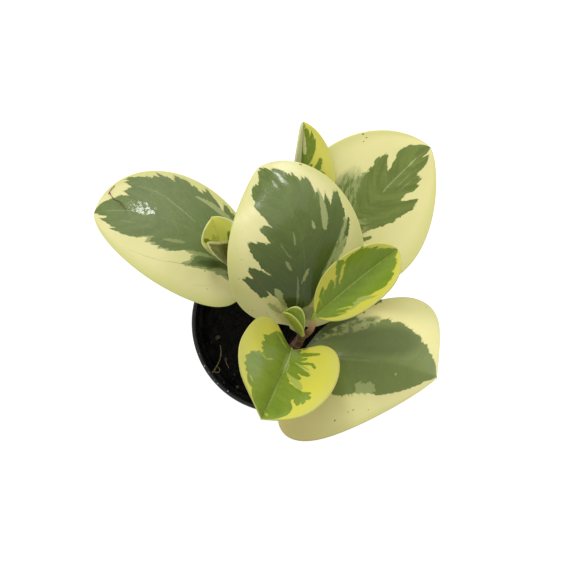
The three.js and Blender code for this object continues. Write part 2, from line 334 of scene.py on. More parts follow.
def joined(name: str, pieces: list[bpy.types.Object]) -> bpy.types.Object:
    """Joins pieces into one, under a new name.

    Args:
        name: Name of the whole.
        pieces: What is joined.

    Returns:
        The whole.
    """
    deselect()
    for piece in pieces:
        piece.select_set(True)
    bpy.context.view_layer.objects.active = pieces[0]
    bpy.ops.object.join()
    whole = bpy.context.object
    whole.name = whole.data.name = name
    return whole


def settle(piece: bpy.types.Object, material: bpy.types.Material, slot: Slot, *nodes: str) -> None:
    """Dresses a finished piece and ties it to the frame.

    Args:
        piece: The finished piece, at the origin.
        material: Its finish.
        slot: The record's slot that the finish belongs to. Not used.
        nodes: The CAD nodes that it stands for.
    """
    piece.data.materials.clear()
    piece.data.materials.append(material)
    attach(piece, BODY)
    if nodes:
        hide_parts(*nodes)
    LOG.info("%s: %d faces", piece.name, len(piece.data.polygons))


# ---- materials ----


class Bench:
    """Wires up the nodes of one material."""

    def __init__(self, name: str) -> None:
        """Starts a material whose surface is a single principled shader.

        Args:
            name: Name of the material.
        """
        self.material = bpy.data.materials.new(name)
        self.material.use_nodes = True
        self.tree = self.material.node_tree
        self.surface = next(n for n in self.tree.nodes if n.type == "BSDF_PRINCIPLED")

    def node(self, kind: str, fed: Fed | None = None, **settings: object) -> bpy.types.Node:
        """Adds a node, applies its settings and feeds its inputs.

        Args:
            kind: The node's type.
            fed: What each input is fed, by its number or name.
            settings: What is set on the node first.

        Returns:
            The node.
        """
        made = self.tree.nodes.new(kind)
        for name, value in settings.items():
            setattr(made, name, value)
        for key, value in (fed or {}).items():
            self.feed(made.inputs[key], value)
        return made

    def feed(self, socket: Socket, value: object) -> None:
        """Links a socket to another, or sets its value.

        Args:
            socket: The input.
            value: An output, a number or a colour.
        """
        if isinstance(value, Socket):
            self.tree.links.new(value, socket)
        else:
            socket.default_value = value

    def sum(self, operation: str, a: Value, b: Value = 0.0, c: Value = 0.0) -> Socket:
        """Works out one operation of the Math node."""
        return self.node("ShaderNodeMath", {0: a, 1: b, 2: c}, operation=operation).outputs[0]

    def times(self, a: Value, b: Value) -> Socket:
        """Multiplies two numbers."""
        return self.sum("MULTIPLY", a, b)

    def less(self, a: Value, b: Value) -> Socket:
        """Takes b from a."""
        return self.sum("SUBTRACT", a, b)

    def most(self, a: Value, b: Value) -> Socket:
        """Takes the larger of two numbers."""
        return self.sum("MAXIMUM", a, b)

    def scaled(self, a: Value, b: Value, base: Value) -> Socket:
        """Adds a times b to a base."""
        return self.sum("MULTIPLY_ADD", a, b, base)

    def squares(self, a: Socket, b: Socket) -> Socket:
        """Adds the squares of two numbers."""
        return self.scaled(a, a, self.times(b, b))

    def nudged(self, cloud: Socket, amount: float, base: Value) -> Socket:
        """Moves a base up and down by a noise, by half of amount at most."""
        return self.scaled(self.less(cloud, 0.5), amount, base)

    def step(self, value: Value, low: float, high: float) -> Socket:
        """Rises smoothly from 0 at low to 1 at high; falls if low is above high.

        Args:
            value: The number.
            low: Where the result is 0.
            high: Where it is 1.

        Returns:
            0 to 1.
        """
        (first, start), (last, end) = sorted([(low, 0.0), (high, 1.0)])
        values = {"Value": value, "From Min": first, "From Max": last, "To Min": start, "To Max": end}
        return self.node("ShaderNodeMapRange", values, interpolation_type="SMOOTHSTEP").outputs[0]

    def blend(self, share: Value, a: Value | Colour, b: Value | Colour) -> Socket:
        """Mixes two colours: a at a share of 0, b at 1."""
        return self.node("ShaderNodeMix", {0: share, 6: a, 7: b}, data_type="RGBA").outputs[2]

    def between(self, share: Value, a: Value, b: Value) -> Socket:
        """Mixes two numbers: a at a share of 0, b at 1."""
        return self.node("ShaderNodeMix", {0: share, 2: a, 3: b}, data_type="FLOAT").outputs[0]

    def spot(self, x: Value, y: Value, z: Value = 0.0) -> Socket:
        """Joins three numbers into a place for a texture."""
        return self.node("ShaderNodeCombineXYZ", {0: x, 1: y, 2: z}).outputs[0]

    def noise(self, place: Socket, scale: float, detail: float = 2.0, rough: float = 0.5) -> Socket:
        """Makes cloudy noise of 0 to 1, with finer layers by detail, as strong as rough."""
        values = {"Vector": place, "Scale": scale, "Detail": detail, "Roughness": rough}
        return self.node("ShaderNodeTexNoise", values).outputs[0]

    def cells(self, place: Socket, scale: float) -> Socket:
        """Finds the distance to the nearest of many scattered points."""
        values = {"Vector": place, "Scale": scale}
        return self.node("ShaderNodeTexVoronoi", values).outputs["Distance"]

    def lobes(self, value: Value) -> Socket:
        """Makes a row of rounded lobes of uneven width, 1 at their crowns, with sharp gaps between."""
        row = self.node("ShaderNodeTexVoronoi", {"W": value, "Scale": 1.0}, voronoi_dimensions="1D")
        return self.scaled(self.times(row.outputs["Distance"], row.outputs["Distance"]), -2.4, 1.0)

    def graph(self, value: Value, points: Reach) -> Socket:
        """Looks a value of 0 to 1 up on a line through points.

        Args:
            value: The number that is looked up.
            points: The line's points.

        Returns:
            The line's height there.
        """
        made = self.node("ShaderNodeFloatCurve", {"Value": value})
        line = made.mapping.curves[0].points
        line[0].location = points[0]
        line[-1].location = points[-1]
        for x, y in points[1:-1]:
            line.new(x, y)
        for knot in line:
            knot.handle_type = "VECTOR"
        made.mapping.update()
        return made.outputs[0]

    def on_skin(self) -> Socket:
        """The place on the piece's own UV map, along it and round it."""
        return self.node("ShaderNodeUVMap", uv_map="surface").outputs[0]

    def where(self) -> Socket:
        """The place on the object, in metres."""
        return self.node("ShaderNodeTexCoord").outputs["Object"]

    def split(self, vector: Socket) -> tuple[Socket, ...]:
        """Splits a vector into its three numbers."""
        return tuple(self.node("ShaderNodeSeparateXYZ", {0: vector}).outputs)

    def bump(self, height: Socket, depth: float, strength: float) -> None:
        """Raises the surface by a height of 0 to 1 times depth, in metres."""
        values = {"Strength": strength, "Distance": depth, "Height": height}
        self.feed(self.surface.inputs["Normal"], self.node("ShaderNodeBump", values).outputs[0])

    def finish(self, colour: Value | Colour, rough: Value, gloss: float) -> bpy.types.Material:
        """Sets the surface's colour, roughness and specular level.

        Args:
            colour: The base colour.
            rough: The roughness.
            gloss: The specular level.

        Returns:
            The finished material.
        """
        self.feed(self.surface.inputs["Base Color"], colour)
        self.feed(self.surface.inputs["Roughness"], rough)
        self.surface.inputs["Specular IOR Level"].default_value = gloss
        return self.material


@dataclass(frozen=True)
class PotPlastic:
    """Thin black moulded plastic with a soft gloss, a little dust and dried water."""

    base: Colour = shade(20, 20, 22)
    dust: Colour = shade(92, 88, 82)

    def material(self) -> bpy.types.Material:
        """Makes the finish.

        Returns:
            The finished material.
        """
        bench = Bench("black_moulded_plastic")
        place = bench.where()
        x, y, z = bench.split(place)
        grain = bench.noise(place, 900, 2)
        smear = bench.noise(bench.spot(x, y, bench.times(z, 0.25)), 160, 5, 0.65)
        cloud = bench.noise(place, 40, 3)
        dusty = bench.times(bench.step(smear, 0.55, 0.8), bench.step(cloud, 0.4, 0.7))
        specks = bench.step(bench.cells(place, 420), 0.16, 0.08)
        rare = bench.step(bench.noise(place, 130, 1), 0.6, 0.66)
        dusty = bench.most(bench.times(dusty, 0.22), bench.times(specks, rare))
        colour = bench.blend(dusty, self.base, self.dust)
        rough = bench.between(bench.step(smear, 0.3, 0.75), 0.22, 0.4)
        bench.bump(grain, 0.00003, 0.35)
        return bench.finish(colour, rough, 0.5)


@dataclass(frozen=True)
class PottingMix:
    """Damp peat: near black, brown where it has dried, grainy all over."""

    wet: Colour = shade(5, 4, 4)
    dry: Colour = shade(22, 17, 14)
    ash: Colour = shade(70, 62, 54)

    def material(self) -> bpy.types.Material:
        """Makes the finish.

        Returns:
            The finished material.
        """
        bench = Bench("damp_potting_mix")
        place = bench.where()
        clump = bench.noise(place, 260, 6, 0.65)
        grit = bench.noise(place, 1500, 4, 0.7)
        colour = bench.blend(bench.step(clump, 0.42, 0.72), self.wet, self.dry)
        pale = bench.step(bench.cells(place, 520), 0.14, 0.06)
        pale = bench.times(pale, bench.step(bench.noise(place, 240, 1), 0.52, 0.62))
        colour = bench.blend(bench.times(pale, 0.8), colour, self.ash)
        bench.bump(bench.sum("ADD", clump, bench.times(grit, 0.5)), 0.0007, 0.8)
        return bench.finish(colour, bench.between(grit, 0.5, 0.95), 0.22)


@dataclass(frozen=True)
class PaleGrain:
    """Dry mineral grains: chalky, with stained pits."""

    name: str = "pale_mineral_grain"
    light: Colour = shade(112, 98, 80)
    stain: Colour = shade(50, 38, 30)

    def material(self) -> bpy.types.Material:
        """Makes the finish.

        Returns:
            The finished material.
        """
        bench = Bench(self.name)
        place = bench.where()
        pits = bench.noise(place, 1800, 4, 0.65)
        colour = bench.blend(bench.step(pits, 0.35, 0.68), self.stain, self.light)
        bench.bump(pits, 0.0002, 0.7)
        return bench.finish(colour, 0.9, 0.2)


@dataclass(frozen=True)
class DryFibre:
    """A dried root, straw or fibre, streaked along its length."""

    name: str = "dry_root_fibre"
    light: Colour = shade(168, 150, 108)
    dark: Colour = shade(66, 50, 34)

    def material(self) -> bpy.types.Material:
        """Makes the finish.

        Returns:
            The finished material.
        """
        bench = Bench(self.name)
        along, around, _ = bench.split(bench.on_skin())
        place = bench.spot(bench.times(along, 9), bench.sum("SINE", bench.times(around, 6.2832)))
        streak = bench.noise(place, 4, 4, 0.6)
        colour = bench.blend(bench.step(streak, 0.35, 0.65), self.dark, self.light)
        bench.bump(streak, 0.0001, 0.6)
        return bench.finish(colour, 0.62, 0.3)


@dataclass(frozen=True)
class StemSkin:
    """Smooth skin of a stem: maroon low down, green towards its tip, with pale scars."""

    maroon: Colour = shade(84, 44, 38)
    green: Colour = shade(118, 104, 66)
    pale: Colour = shade(150, 112, 86)
    turns_at: tuple[float, float] = (104, 122)
    uneven: float = 7

    def material(self) -> bpy.types.Material:
        """Makes the finish.

        Returns:
            The finished material.
        """
        bench = Bench("stem_skin")
        place = bench.where()
        _, _, height = bench.split(place)
        blotch = bench.noise(place, 220, 3)
        shifted = bench.scaled(blotch, 2 * self.uneven * MM, height)
        low, high = ((turn + self.uneven) * MM for turn in self.turns_at)
        share = bench.step(shifted, low, high)
        colour = bench.blend(share, self.maroon, self.green)
        ring = bench.node("ShaderNodeAttribute", attribute_name="scar").outputs["Fac"]
        colour = bench.blend(bench.times(ring, 0.75), colour, self.pale)
        fleck = bench.step(bench.cells(place, 900), 0.12, 0.05)
        colour = bench.blend(bench.times(fleck, 0.4), colour, self.pale)
        bench.bump(bench.noise(place, 700, 3), 0.00008, 0.5)
        return bench.finish(colour, 0.42, 0.45)


class Mark(Enum):
    """How a marked place on a leaf differs from what is round it."""

    CLEAR = "the dark green is missing, in an irregular lens along the side veins"
    MOTTLED = "dark and pale cells lie mixed, with no clear edge"
    # SHADED deepens the green: partly the leaf's own deeper green, partly painted shade where other leaves
    # shade it
    SHADED = "the green is deeper"
    POLISHED = "the wax is smooth and mirrors the light, with a broken edge"


@dataclass(frozen=True)
class Zone:
    """A marked place in or beside the green.

    at is its place along the veins' coordinate, out its distance from the midrib (above 0 on
    the left half), and long and wide are half its size along the midrib and outwards.
    """

    at: float
    out: float
    long: float
    wide: float
    strength: float = 1.0
    mark: Mark = Mark.CLEAR


@dataclass(frozen=True)
class Fleck:
    """A small brown fleck: its share of the length, its place across and its radius in millimetres."""

    t: float
    u: float
    radius: float = 0.45


class Ink(Enum):
    """What a stroke on a leaf shows."""

    GREEN = "the dark green"
    PALE = "the pale green"
    CREAM = "the ground"
    VEIN = "a light vein in the green"
    SCRATCH = "a healed brown scratch"


@dataclass(frozen=True)
class Stroke:
    """A finger, gap, vein or scratch with an uneven edge.

    start and end are shares of the length and places across. near and far are half its
    width at each end, in millimetres.
    """

    start: tuple[float, float]
    end: tuple[float, float]
    near: float
    far: float
    ink: Ink
    strength: float = 1.0


@dataclass(frozen=True)
class Palette:
    """The colours of a leaf."""

    cream: Colour
    # edge_tint_and_painted_light, the colour towards the margin, is partly the margin's own tint and partly
    # painted light: painted shade on a grown leaf's curved margin, a painted highlight on a bud's rim
    edge_tint_and_painted_light: Colour
    pale: Colour
    dark: Colour
    # deep is a deeper green for the strands, and also the green in painted shade
    deep_green_and_shade: Colour
    vein: Colour
    # dim is the cream in painted shade, used towards the stalk
    dim: Colour
    under: Colour
    under_dark: Colour
    stalk: Colour
    stalk_foot: Colour


GROWN = Palette(
    cream=shade(218, 212, 150),
    edge_tint_and_painted_light=shade(196, 196, 118),
    pale=shade(146, 156, 98),
    dark=shade(100, 117, 55),
    deep_green_and_shade=shade(62, 76, 32),
    vein=shade(166, 180, 126),
    dim=shade(158, 154, 80),
    under=shade(200, 200, 146),
    under_dark=shade(150, 162, 110),
    stalk=shade(150, 158, 90),
    stalk_foot=shade(128, 84, 62),
)
YOUNG = Palette(
    cream=shade(208, 202, 70),
    edge_tint_and_painted_light=shade(198, 196, 100),
    pale=shade(162, 174, 82),
    dark=shade(122, 146, 36),
    deep_green_and_shade=shade(90, 116, 20),
    vein=shade(156, 180, 84),
    dim=shade(150, 150, 50),
    under=shade(178, 184, 92),
    under_dark=shade(134, 150, 66),
    stalk=shade(142, 150, 78),
    stalk_foot=shade(128, 82, 64),
)
OPENING = Palette(
    cream=shade(200, 203, 60),
    edge_tint_and_painted_light=shade(212, 208, 146),
    pale=shade(150, 156, 62),
    dark=shade(112, 128, 28),
    deep_green_and_shade=shade(88, 102, 12),
    vein=shade(196, 198, 110),
    dim=shade(120, 124, 30),
    under=shade(150, 160, 84),
    under_dark=shade(116, 126, 54),
    stalk=shade(142, 150, 78),
    stalk_foot=shade(128, 82, 64),
)
BLUSHED = replace(YOUNG, stalk=shade(168, 138, 100), stalk_foot=shade(112, 72, 62))
# GROWN made lighter all over for the back right and low right leaves: painted light, since they sit lower and
# get less light
GROWN_PAINTED_LIGHTER = replace(
    GROWN, cream=shade(234, 227, 158), edge_tint_and_painted_light=shade(214, 211, 132), pale=shade(156, 168, 104),
    dark=shade(118, 134, 62), deep_green_and_shade=shade(88, 104, 38), dim=shade(186, 172, 102),
)
# the lowest leaf's colours, from the lighter copy; its darker deep and dim are painted shade at its foot and
# on its drooping lower half
LOWEST = replace(GROWN_PAINTED_LIGHTER, dark=shade(118, 132, 68), deep_green_and_shade=shade(66, 80, 26), dim=shade(184, 166, 98))
ROLLED = replace(
    YOUNG, cream=shade(172, 180, 74), edge_tint_and_painted_light=shade(196, 200, 112), dark=shade(122, 142, 36),
    deep_green_and_shade=shade(98, 120, 20), under=shade(176, 184, 84), under_dark=shade(150, 162, 62),
)
HEART = replace(YOUNG, dark=shade(124, 146, 46), deep_green_and_shade=shade(78, 104, 20), vein=shade(176, 186, 120))
UNFURLED = replace(YOUNG, pale=shade(200, 200, 150), dark=shade(110, 130, 20), dim=shade(140, 142, 60))
SHEATH = Palette(
    cream=shade(186, 182, 112),
    edge_tint_and_painted_light=shade(190, 186, 118),
    pale=shade(112, 116, 74),
    dark=shade(118, 128, 50),
    deep_green_and_shade=shade(84, 82, 8),
    vein=shade(150, 150, 90),
    dim=shade(100, 100, 40),
    under=shade(150, 150, 60),
    under_dark=shade(120, 124, 40),
    stalk=shade(110, 112, 50),
    stalk_foot=shade(96, 78, 44),
)


@dataclass(frozen=True)
class LeafSkin:
    """The waxy skin of a leaf, with its green patch on a cream ground.

    The patch is drawn along the side veins. A vein leaves the midrib at a share of the leaf's
    length and leans towards the tip by lean, bent by bow, and less so within the first share,
    fan. Each Reach says how far out the green goes along the vein that starts at each share.
    foot keeps the green off the lobes beside the stalk, and lip off the tip past that share.

    half_width and length are the blade's own, in millimetres. veins is how many side veins
    there are, vein_show and rib_show how light they and the midrib stand out, and rib_bow how
    far the midrib bends aside in millimetres. teeth and ragged give the patch's edge its count
    of lobes and their size. mottle darkens the green in strands. dusk and dull are painted
    shade: they darken the green and the cream towards the stalk. streaky draws a mottled zone
    along the veins, and sparse says how little of it is dark. rim is where the edge colour
    begins, which is partly the margin's own tint and partly painted light: painted shade on a
    grown leaf's curved margin, a painted highlight on a bud's rim. blush says how brown the
    very margin is. rough, gloss and wrinkle are the wax's own.
    """

    name: str
    palette: Palette
    left_dark: Reach
    right_dark: Reach
    left_pale: Reach = ((0, 0), (1, 0))
    right_pale: Reach = ((0, 0), (1, 0))
    zones: tuple[Zone, ...] = ()
    flecks: tuple[Fleck, ...] = ()
    strokes: tuple[Stroke, ...] = ()
    lean: float = 0.45
    bow: float = 1.2
    fan: float = 0.3
    foot: float = 0.0
    veins: float = 11
    vein_show: float = 0.05
    rib_show: float = 0.15
    rib_bow: float = 0.0
    rim: float = 0.72
    teeth: float = 11
    ragged: float = 0.07
    mottle: float = 0.3
    streaky: bool = False
    sparse: float = 0.52
    painted_shade_green: float = 0.0
    painted_shade_cream: float = 0.0
    lip: float = 2.0
    blush: float = 0.0
    rough: float = 0.2
    gloss: float = 0.35
    wrinkle: float = 0.035
    half_width: float = 32
    length: float = 85
    seed: float = 0.0

    def material(self) -> bpy.types.Material:
        """Makes the finish."""
        return LeafPainter(self).paint()


class LeafPainter(Bench):
    """Paints one leaf's skin.

    Its attributes say where a shaded point lies. t is its share of the length, u its place
    across (above 0 on the left half), out the size of u, s the share of the length where its
    side vein leaves the midrib, across its distance from the midrib in millimetres, under 1 on
    the underside, stalk 1 at the foot of the stalk, coarse a noise drawn out along the veins,
    and fine and broad noises of about 1.5 and 3 millimetres. x and y are its distances along
    and across the blade in millimetres, made uneven.
    """

    START = -0.1
    SPAN = 1.1
    CRISP = (-0.006, 0.008)
    BLUSH = shade(140, 100, 72)
    HEALED = shade(96, 80, 40)

    def __init__(self, skin: LeafSkin) -> None:
        """Reads where a point lies from the mesh, and works out its side vein.

        Args:
            skin: What is painted.
        """
        super().__init__(f"{skin.name}_skin")
        self.skin = skin
        self.place = self.where()
        self.t, v, _ = self.split(self.on_skin())
        stored = self.node("ShaderNodeAttribute", attribute_name="leaf_place")
        self.across, self.under, self.stalk = self.split(stored.outputs["Vector"])
        self.u = self.scaled(v, 2.0, -1.0)
        self.out = self.sum("ABSOLUTE", self.u)
        self.left = self.sum("GREATER_THAN", self.u, 0.0)
        fanned = self.sum("MINIMUM", self.sum("DIVIDE", self.t, skin.fan), 1.0)
        bowed = self.times(self.sum("POWER", self.out, skin.bow), skin.lean)
        self.s = self.less(self.t, self.times(bowed, fanned))
        self.coarse = self.noise(self.strands(30, 2.2, 0), 1.0, 3, 0.6)
        self.fine = self.noise(self.place, 620, 3, 0.6)
        self.broad = self.noise(self.place, 290, 2)
        self.x = self.nudged(self.broad, 2.4, self.times(self.t, skin.length))
        self.y = self.nudged(self.fine, 1.4, self.times(self.u, skin.half_width))

    def strands(self, along: float, out: float, shift: float) -> Socket:
        """A place for a noise that is drawn out along the side veins."""
        return self.spot(self.times(self.s, along), self.times(self.u, out), self.skin.seed + shift)

    def reach(self, along: Socket, points: Reach) -> Socket:
        """Looks up how far the green goes out along each vein.

        Args:
            along: Where the vein starts, as a share of START to START and SPAN.
            points: How far the green goes out along the veins.

        Returns:
            The share of the half width.
        """
        placed = tuple(((s - self.START) / self.SPAN, r) for s, r in points)
        if placed[0][0] > 0:
            placed = ((0.0, placed[0][1]), *placed)
        if placed[-1][0] < 1:
            placed = (*placed, (1.0, placed[-1][1]))
        return self.graph(along, placed)

    def jag(self) -> Socket:
        """Makes the patch's edge uneven: round lobes, with smaller ones on them.

        Returns:
            How far the edge is pushed out or in.
        """
        ragged = self.skin.ragged
        row = self.times(self.nudged(self.fine, 0.03, self.s), self.skin.teeth)
        row = self.scaled(self.left, 17.3, row)
        big = self.less(self.lobes(self.sum("ADD", row, self.skin.seed)), 0.5)
        small = self.less(self.lobes(self.times(row, 2.9)), 0.5)
        pushed = self.scaled(big, ragged, self.times(small, ragged * 0.25))
        pushed = self.nudged(self.coarse, ragged * 1.6, pushed)
        pushed = self.nudged(self.broad, 0.09, pushed)
        return self.nudged(self.fine, 0.045, pushed)

    def inside(self, left: Reach, right: Reach, jag: Socket) -> Socket:
        """Works out how far within a patch a point lies, below 0 outside it.

        Args:
            left: How far the patch goes out on the left half.
            right: How far it goes out on the right half.
            jag: How far its edge is pushed out or in.

        Returns:
            The depth, as a share of the half width.
        """
        share = self.sum("DIVIDE", self.less(self.s, self.START), self.SPAN)
        share = self.nudged(self.fine, 0.012, share)
        share = self.nudged(self.broad, 0.05, share)
        reach = self.between(self.left, self.reach(share, right), self.reach(share, left))
        shown = self.step(reach, 0.01, 0.05)
        return self.less(self.scaled(jag, shown, reach), self.out)

    def marked(self, mark: Mark) -> Value:
        """Works out how far a point belongs to the zones of one kind.

        Args:
            mark: The kind.

        Returns:
            0 to 1, or plainly 0 where the leaf has no such zone.
        """
        found: Value = 0.0
        for zone in self.skin.zones:
            if zone.mark is not mark:
                continue
            a = self.sum("DIVIDE", self.less(self.s, zone.at), zone.long)
            b = self.sum("DIVIDE", self.less(self.u, zone.out), zone.wide)
            depth = self.less(1.0, self.squares(a, b))
            if mark in (Mark.CLEAR, Mark.POLISHED):
                uneven = self.sum("ADD", self.less(self.coarse, 0.5), self.less(self.fine, 0.5))
                shape = self.step(self.scaled(uneven, 2.2, depth), -0.05, 0.15)
            else:
                shape = self.step(depth, 0.0, 0.8)
            found = self.most(found, self.times(shape, zone.strength))
        return found

    def flecked(self) -> Value:
        """Draws the brown flecks.

        Returns:
            1 on a fleck and 0 off it.
        """
        shown: Value = 0.0
        for fleck in self.skin.flecks:
            a = self.times(self.less(self.t, fleck.t), self.skin.length)
            b = self.times(self.less(self.u, fleck.u), self.skin.half_width)
            far = self.nudged(self.fine, 2.4 * fleck.radius, self.sum("SQRT", self.squares(a, b)))
            shown = self.most(shown, self.step(far, fleck.radius * 1.1, fleck.radius * 0.7))
        return shown

    def stroke(self, stroke: Stroke) -> Socket:
        """Draws one stroke.

        Args:
            stroke: Its ends, widths and strength.

        Returns:
            Its strength on it and 0 off it.
        """
        scale = np.array([self.skin.length, self.skin.half_width])
        start, end = np.array(stroke.start) * scale, np.array(stroke.end) * scale
        run = end - start
        share = run / np.dot(run, run)
        x = self.less(self.x, float(start[0]))
        y = self.less(self.y, float(start[1]))
        along = self.scaled(x, float(share[0]), self.times(y, float(share[1])))
        along.node.use_clamp = True
        x = self.scaled(along, -float(run[0]), x)
        y = self.scaled(along, -float(run[1]), y)
        far = self.sum("SQRT", self.squares(x, y))
        width = self.scaled(along, stroke.far - stroke.near, stroke.near)
        if stroke.ink is not Ink.GREEN:
            aside = self.scaled(along, 2.0, -1.0)
            width = self.times(width, self.scaled(self.times(aside, aside), -0.6, 1.1))
        uneven = self.scaled(self.fine, 0.8, self.scaled(self.coarse, 0.7, 0.3))
        inside = self.less(self.times(width, uneven), far)
        return self.times(self.step(inside, -0.25, 0.25), stroke.strength)

    def drawn(self, ink: Ink) -> Value:
        """Draws the strokes of one ink.

        Args:
            ink: The ink.

        Returns:
            0 to 1, or plainly 0 where the leaf has no such stroke.
        """
        shown: Value = 0.0
        for stroke in self.skin.strokes:
            if stroke.ink is ink:
                shown = self.most(shown, self.stroke(stroke))
        return shown

    def ground(self) -> Socket:
        """Colours the cream ground: clouded, turning to the edge colour towards its margin, which is partly
        painted light, with painted shade towards the stalk.

        Returns:
            The colour.
        """
        colours = self.skin.palette
        cloud = self.step(self.noise(self.place, 45, 3), 0.35, 0.7)
        colour = self.blend(self.times(cloud, 0.3), colours.cream, colours.edge_tint_and_painted_light)
        # towards the margin the cream turns to edge_tint_and_painted_light: partly the margin's tint, partly
        # painted light, darker on a grown leaf's curved margin and paler on a bud's rim
        rim = self.step(self.out, self.skin.rim, 1.02)
        colour = self.blend(self.times(rim, 0.75), colour, colours.edge_tint_and_painted_light)
        # painted shade: the cream darkens to dim towards the stalk, as far as dull says
        low = self.times(self.step(self.t, 0.7, 0.1), self.skin.painted_shade_cream)
        colour = self.blend(low, colour, colours.dim)
        brink = self.times(self.step(self.out, 0.985, 0.999), self.skin.blush)
        return self.blend(brink, colour, self.BLUSH)

    def patch(self) -> Socket:
        """Colours the green: strands of two greens, small lighter cells, painted shade towards the stalk and
        in the shaded zones, pale lenses and veins.

        Returns:
            The colour.
        """
        skin, colours = self.skin, self.skin.palette
        strand = self.noise(self.strands(13, 1.6, 7), 1.4, 5, 0.6)
        mixed = self.times(self.step(strand, 0.35, 0.68), skin.mottle)
        colour = self.blend(mixed, colours.dark, colours.deep_green_and_shade)
        grain = self.times(self.step(self.fine, 0.5, 0.8), 0.2)
        colour = self.blend(grain, colour, colours.pale)
        # painted shade: the green darkens to deep towards the stalk, as far as dusk says
        painted_shade_green = self.times(self.step(self.t, 0.85, 0.2), skin.painted_shade_green)
        colour = self.blend(painted_shade_green, colour, colours.deep_green_and_shade)
        # the zones marked SHADED: deeper green, and painted shade
        colour = self.blend(self.times(self.marked(Mark.SHADED), 0.85), colour, colours.deep_green_and_shade)
        light = self.noise(self.strands(24, 4, 11), 1.5, 3, 0.6)
        light = self.times(self.step(light, 0.62, 0.7), skin.mottle * 0.5)
        clear = self.most(self.marked(Mark.CLEAR), light)
        colour = self.blend(self.times(clear, 0.85), colour, colours.pale)
        return self.blend(self.light_veins(strand), colour, colours.vein)

    def light_veins(self, strand: Socket) -> Socket:
        """Draws the midrib and the side veins as thin lines that come and go.

        Args:
            strand: The noise that breaks the side veins up.

        Returns:
            How light a point is for them, 0 to 1.
        """
        phase = self.sum("COSINE", self.times(self.s, 2 * math.pi * self.skin.veins))
        inner = self.times(self.step(self.out, 0.02, 0.1), self.step(self.out, 0.85, 0.4))
        broken = self.times(inner, self.step(strand, 0.3, 0.65))
        vein = self.times(self.step(phase, 0.93, 0.998), self.times(broken, self.skin.vein_show))
        vein = self.most(vein, self.times(self.rib(), self.skin.rib_show))
        return self.most(vein, self.drawn(Ink.VEIN))

    def rib(self) -> Socket:
        """Draws the midrib as a thin, broken line.

        Returns:
            1 on it and 0 off it.
        """
        bowed = self.times(self.times(self.t, self.less(1.0, self.t)), 4 * self.skin.rib_bow)
        off = self.sum("ABSOLUTE", self.less(self.across, bowed))
        line = self.step(self.sum("DIVIDE", off, self.scaled(self.t, -0.5, 0.75)), 1.0, 0.4)
        return self.times(line, self.step(self.coarse, 0.3, 0.55))

    def cover(self) -> tuple[Socket, Socket]:
        """Lays the patch, its pale fringe, the mottled zones and the strokes over each other.

        Returns:
            How far the dark green covers a point, and how far the pale green does.
        """
        skin, jag = self.skin, self.jag()
        foot = self.scaled(self.sum("POWER", self.out, 0.35), -skin.foot, self.t)
        off_foot = self.step(self.scaled(jag, 0.4, foot), -0.006, 0.006)
        edge = self.inside(skin.left_dark, skin.right_dark, jag)
        dark = self.times(self.step(edge, *self.CRISP), off_foot)
        dark = self.times(dark, self.step(self.t, skin.lip, skin.lip - 0.03))
        fringe = self.times(self.step(edge, -0.03, -0.008), self.step(self.coarse, 0.4, 0.6))
        pale = self.step(self.inside(skin.left_pale, skin.right_pale, jag), *self.CRISP)
        pale = self.most(pale, self.times(self.times(fringe, off_foot), 0.55))
        mottled = self.marked(Mark.MOTTLED)
        if skin.streaky:
            blotch = self.noise(self.strands(34, 9, 5), 1.0, 4, 0.7)
        else:
            blotch = self.noise(self.place, 260, 4, 0.65)
        dark = self.between(mottled, dark, self.step(blotch, skin.sparse, skin.sparse + 0.1))
        wider = self.step(blotch, skin.sparse - 0.2, skin.sparse - 0.08)
        pale = self.most(pale, self.times(mottled, wider))
        dark = self.most(dark, self.drawn(Ink.GREEN))
        lens = self.drawn(Ink.PALE)
        bare = self.drawn(Ink.CREAM)
        pale = self.times(self.most(pale, lens), self.less(1.0, bare))
        dark = self.times(dark, self.less(1.0, self.most(bare, lens)))
        return dark, pale

    def dullness(self, dark: Socket) -> Socket:
        """Works out the roughness, least in the green and where the wax is polished.

        Args:
            dark: How far the dark green covers a point.

        Returns:
            The roughness.
        """
        rough = self.skin.rough
        rough = self.between(self.noise(self.place, 90, 2), rough - 0.03, rough + 0.06)
        rough = self.scaled(self.less(1.0, dark), 0.16, rough)
        smooth = self.times(self.marked(Mark.POLISHED), self.step(self.fine, 0.42, 0.54))
        return self.between(self.under, self.between(smooth, rough, 0.1), 0.6)

    def paint(self) -> bpy.types.Material:
        """Paints the upper side, the underside and the stalk, and wrinkles them a little.

        Returns:
            The finished material.
        """
        colours = self.skin.palette
        dark, pale = self.cover()
        top = self.blend(pale, self.ground(), colours.pale)
        top = self.blend(dark, top, self.patch())
        hurt = self.most(self.drawn(Ink.SCRATCH), self.flecked())
        top = self.blend(hurt, top, self.HEALED)
        low = self.blend(dark, colours.under, colours.under_dark)
        low = self.blend(self.times(self.rib(), 0.5), low, colours.stalk)
        colour = self.blend(self.under, top, low)
        foot = self.blend(self.step(self.stalk, 0.15, 0.8), colours.stalk, colours.stalk_foot)
        colour = self.blend(self.step(self.stalk, 0.0, 0.2), colour, foot)
        wrinkle = self.noise(self.strands(70, 30, 0), 1.0, 3, 0.6)
        grain = self.noise(self.place, 1100, 2)
        self.bump(self.scaled(grain, 0.9, wrinkle), self.skin.wrinkle * MM, 1.0)
        return self.finish(colour, self.dullness(dark), self.skin.gloss)


@dataclass(frozen=True)
class PaleFloor:
    """A plain, matt, nearly white surface, lit from below as on a light table."""

    light: Colour = shade(190, 190, 189)
    dim: Colour = shade(187, 187, 186)
    glow: float = 1.45

    def material(self) -> bpy.types.Material:
        """Makes the finish.

        Returns:
            The finished material.
        """
        bench = Bench("pale_floor")
        cloud = bench.noise(bench.where(), 6, 3)
        colour = bench.blend(cloud, self.dim, self.light)
        bench.feed(bench.surface.inputs["Emission Color"], colour)
        bench.surface.inputs["Emission Strength"].default_value = self.glow
        return bench.finish(colour, 0.9, 0.1)


# ---- pot and soil ----


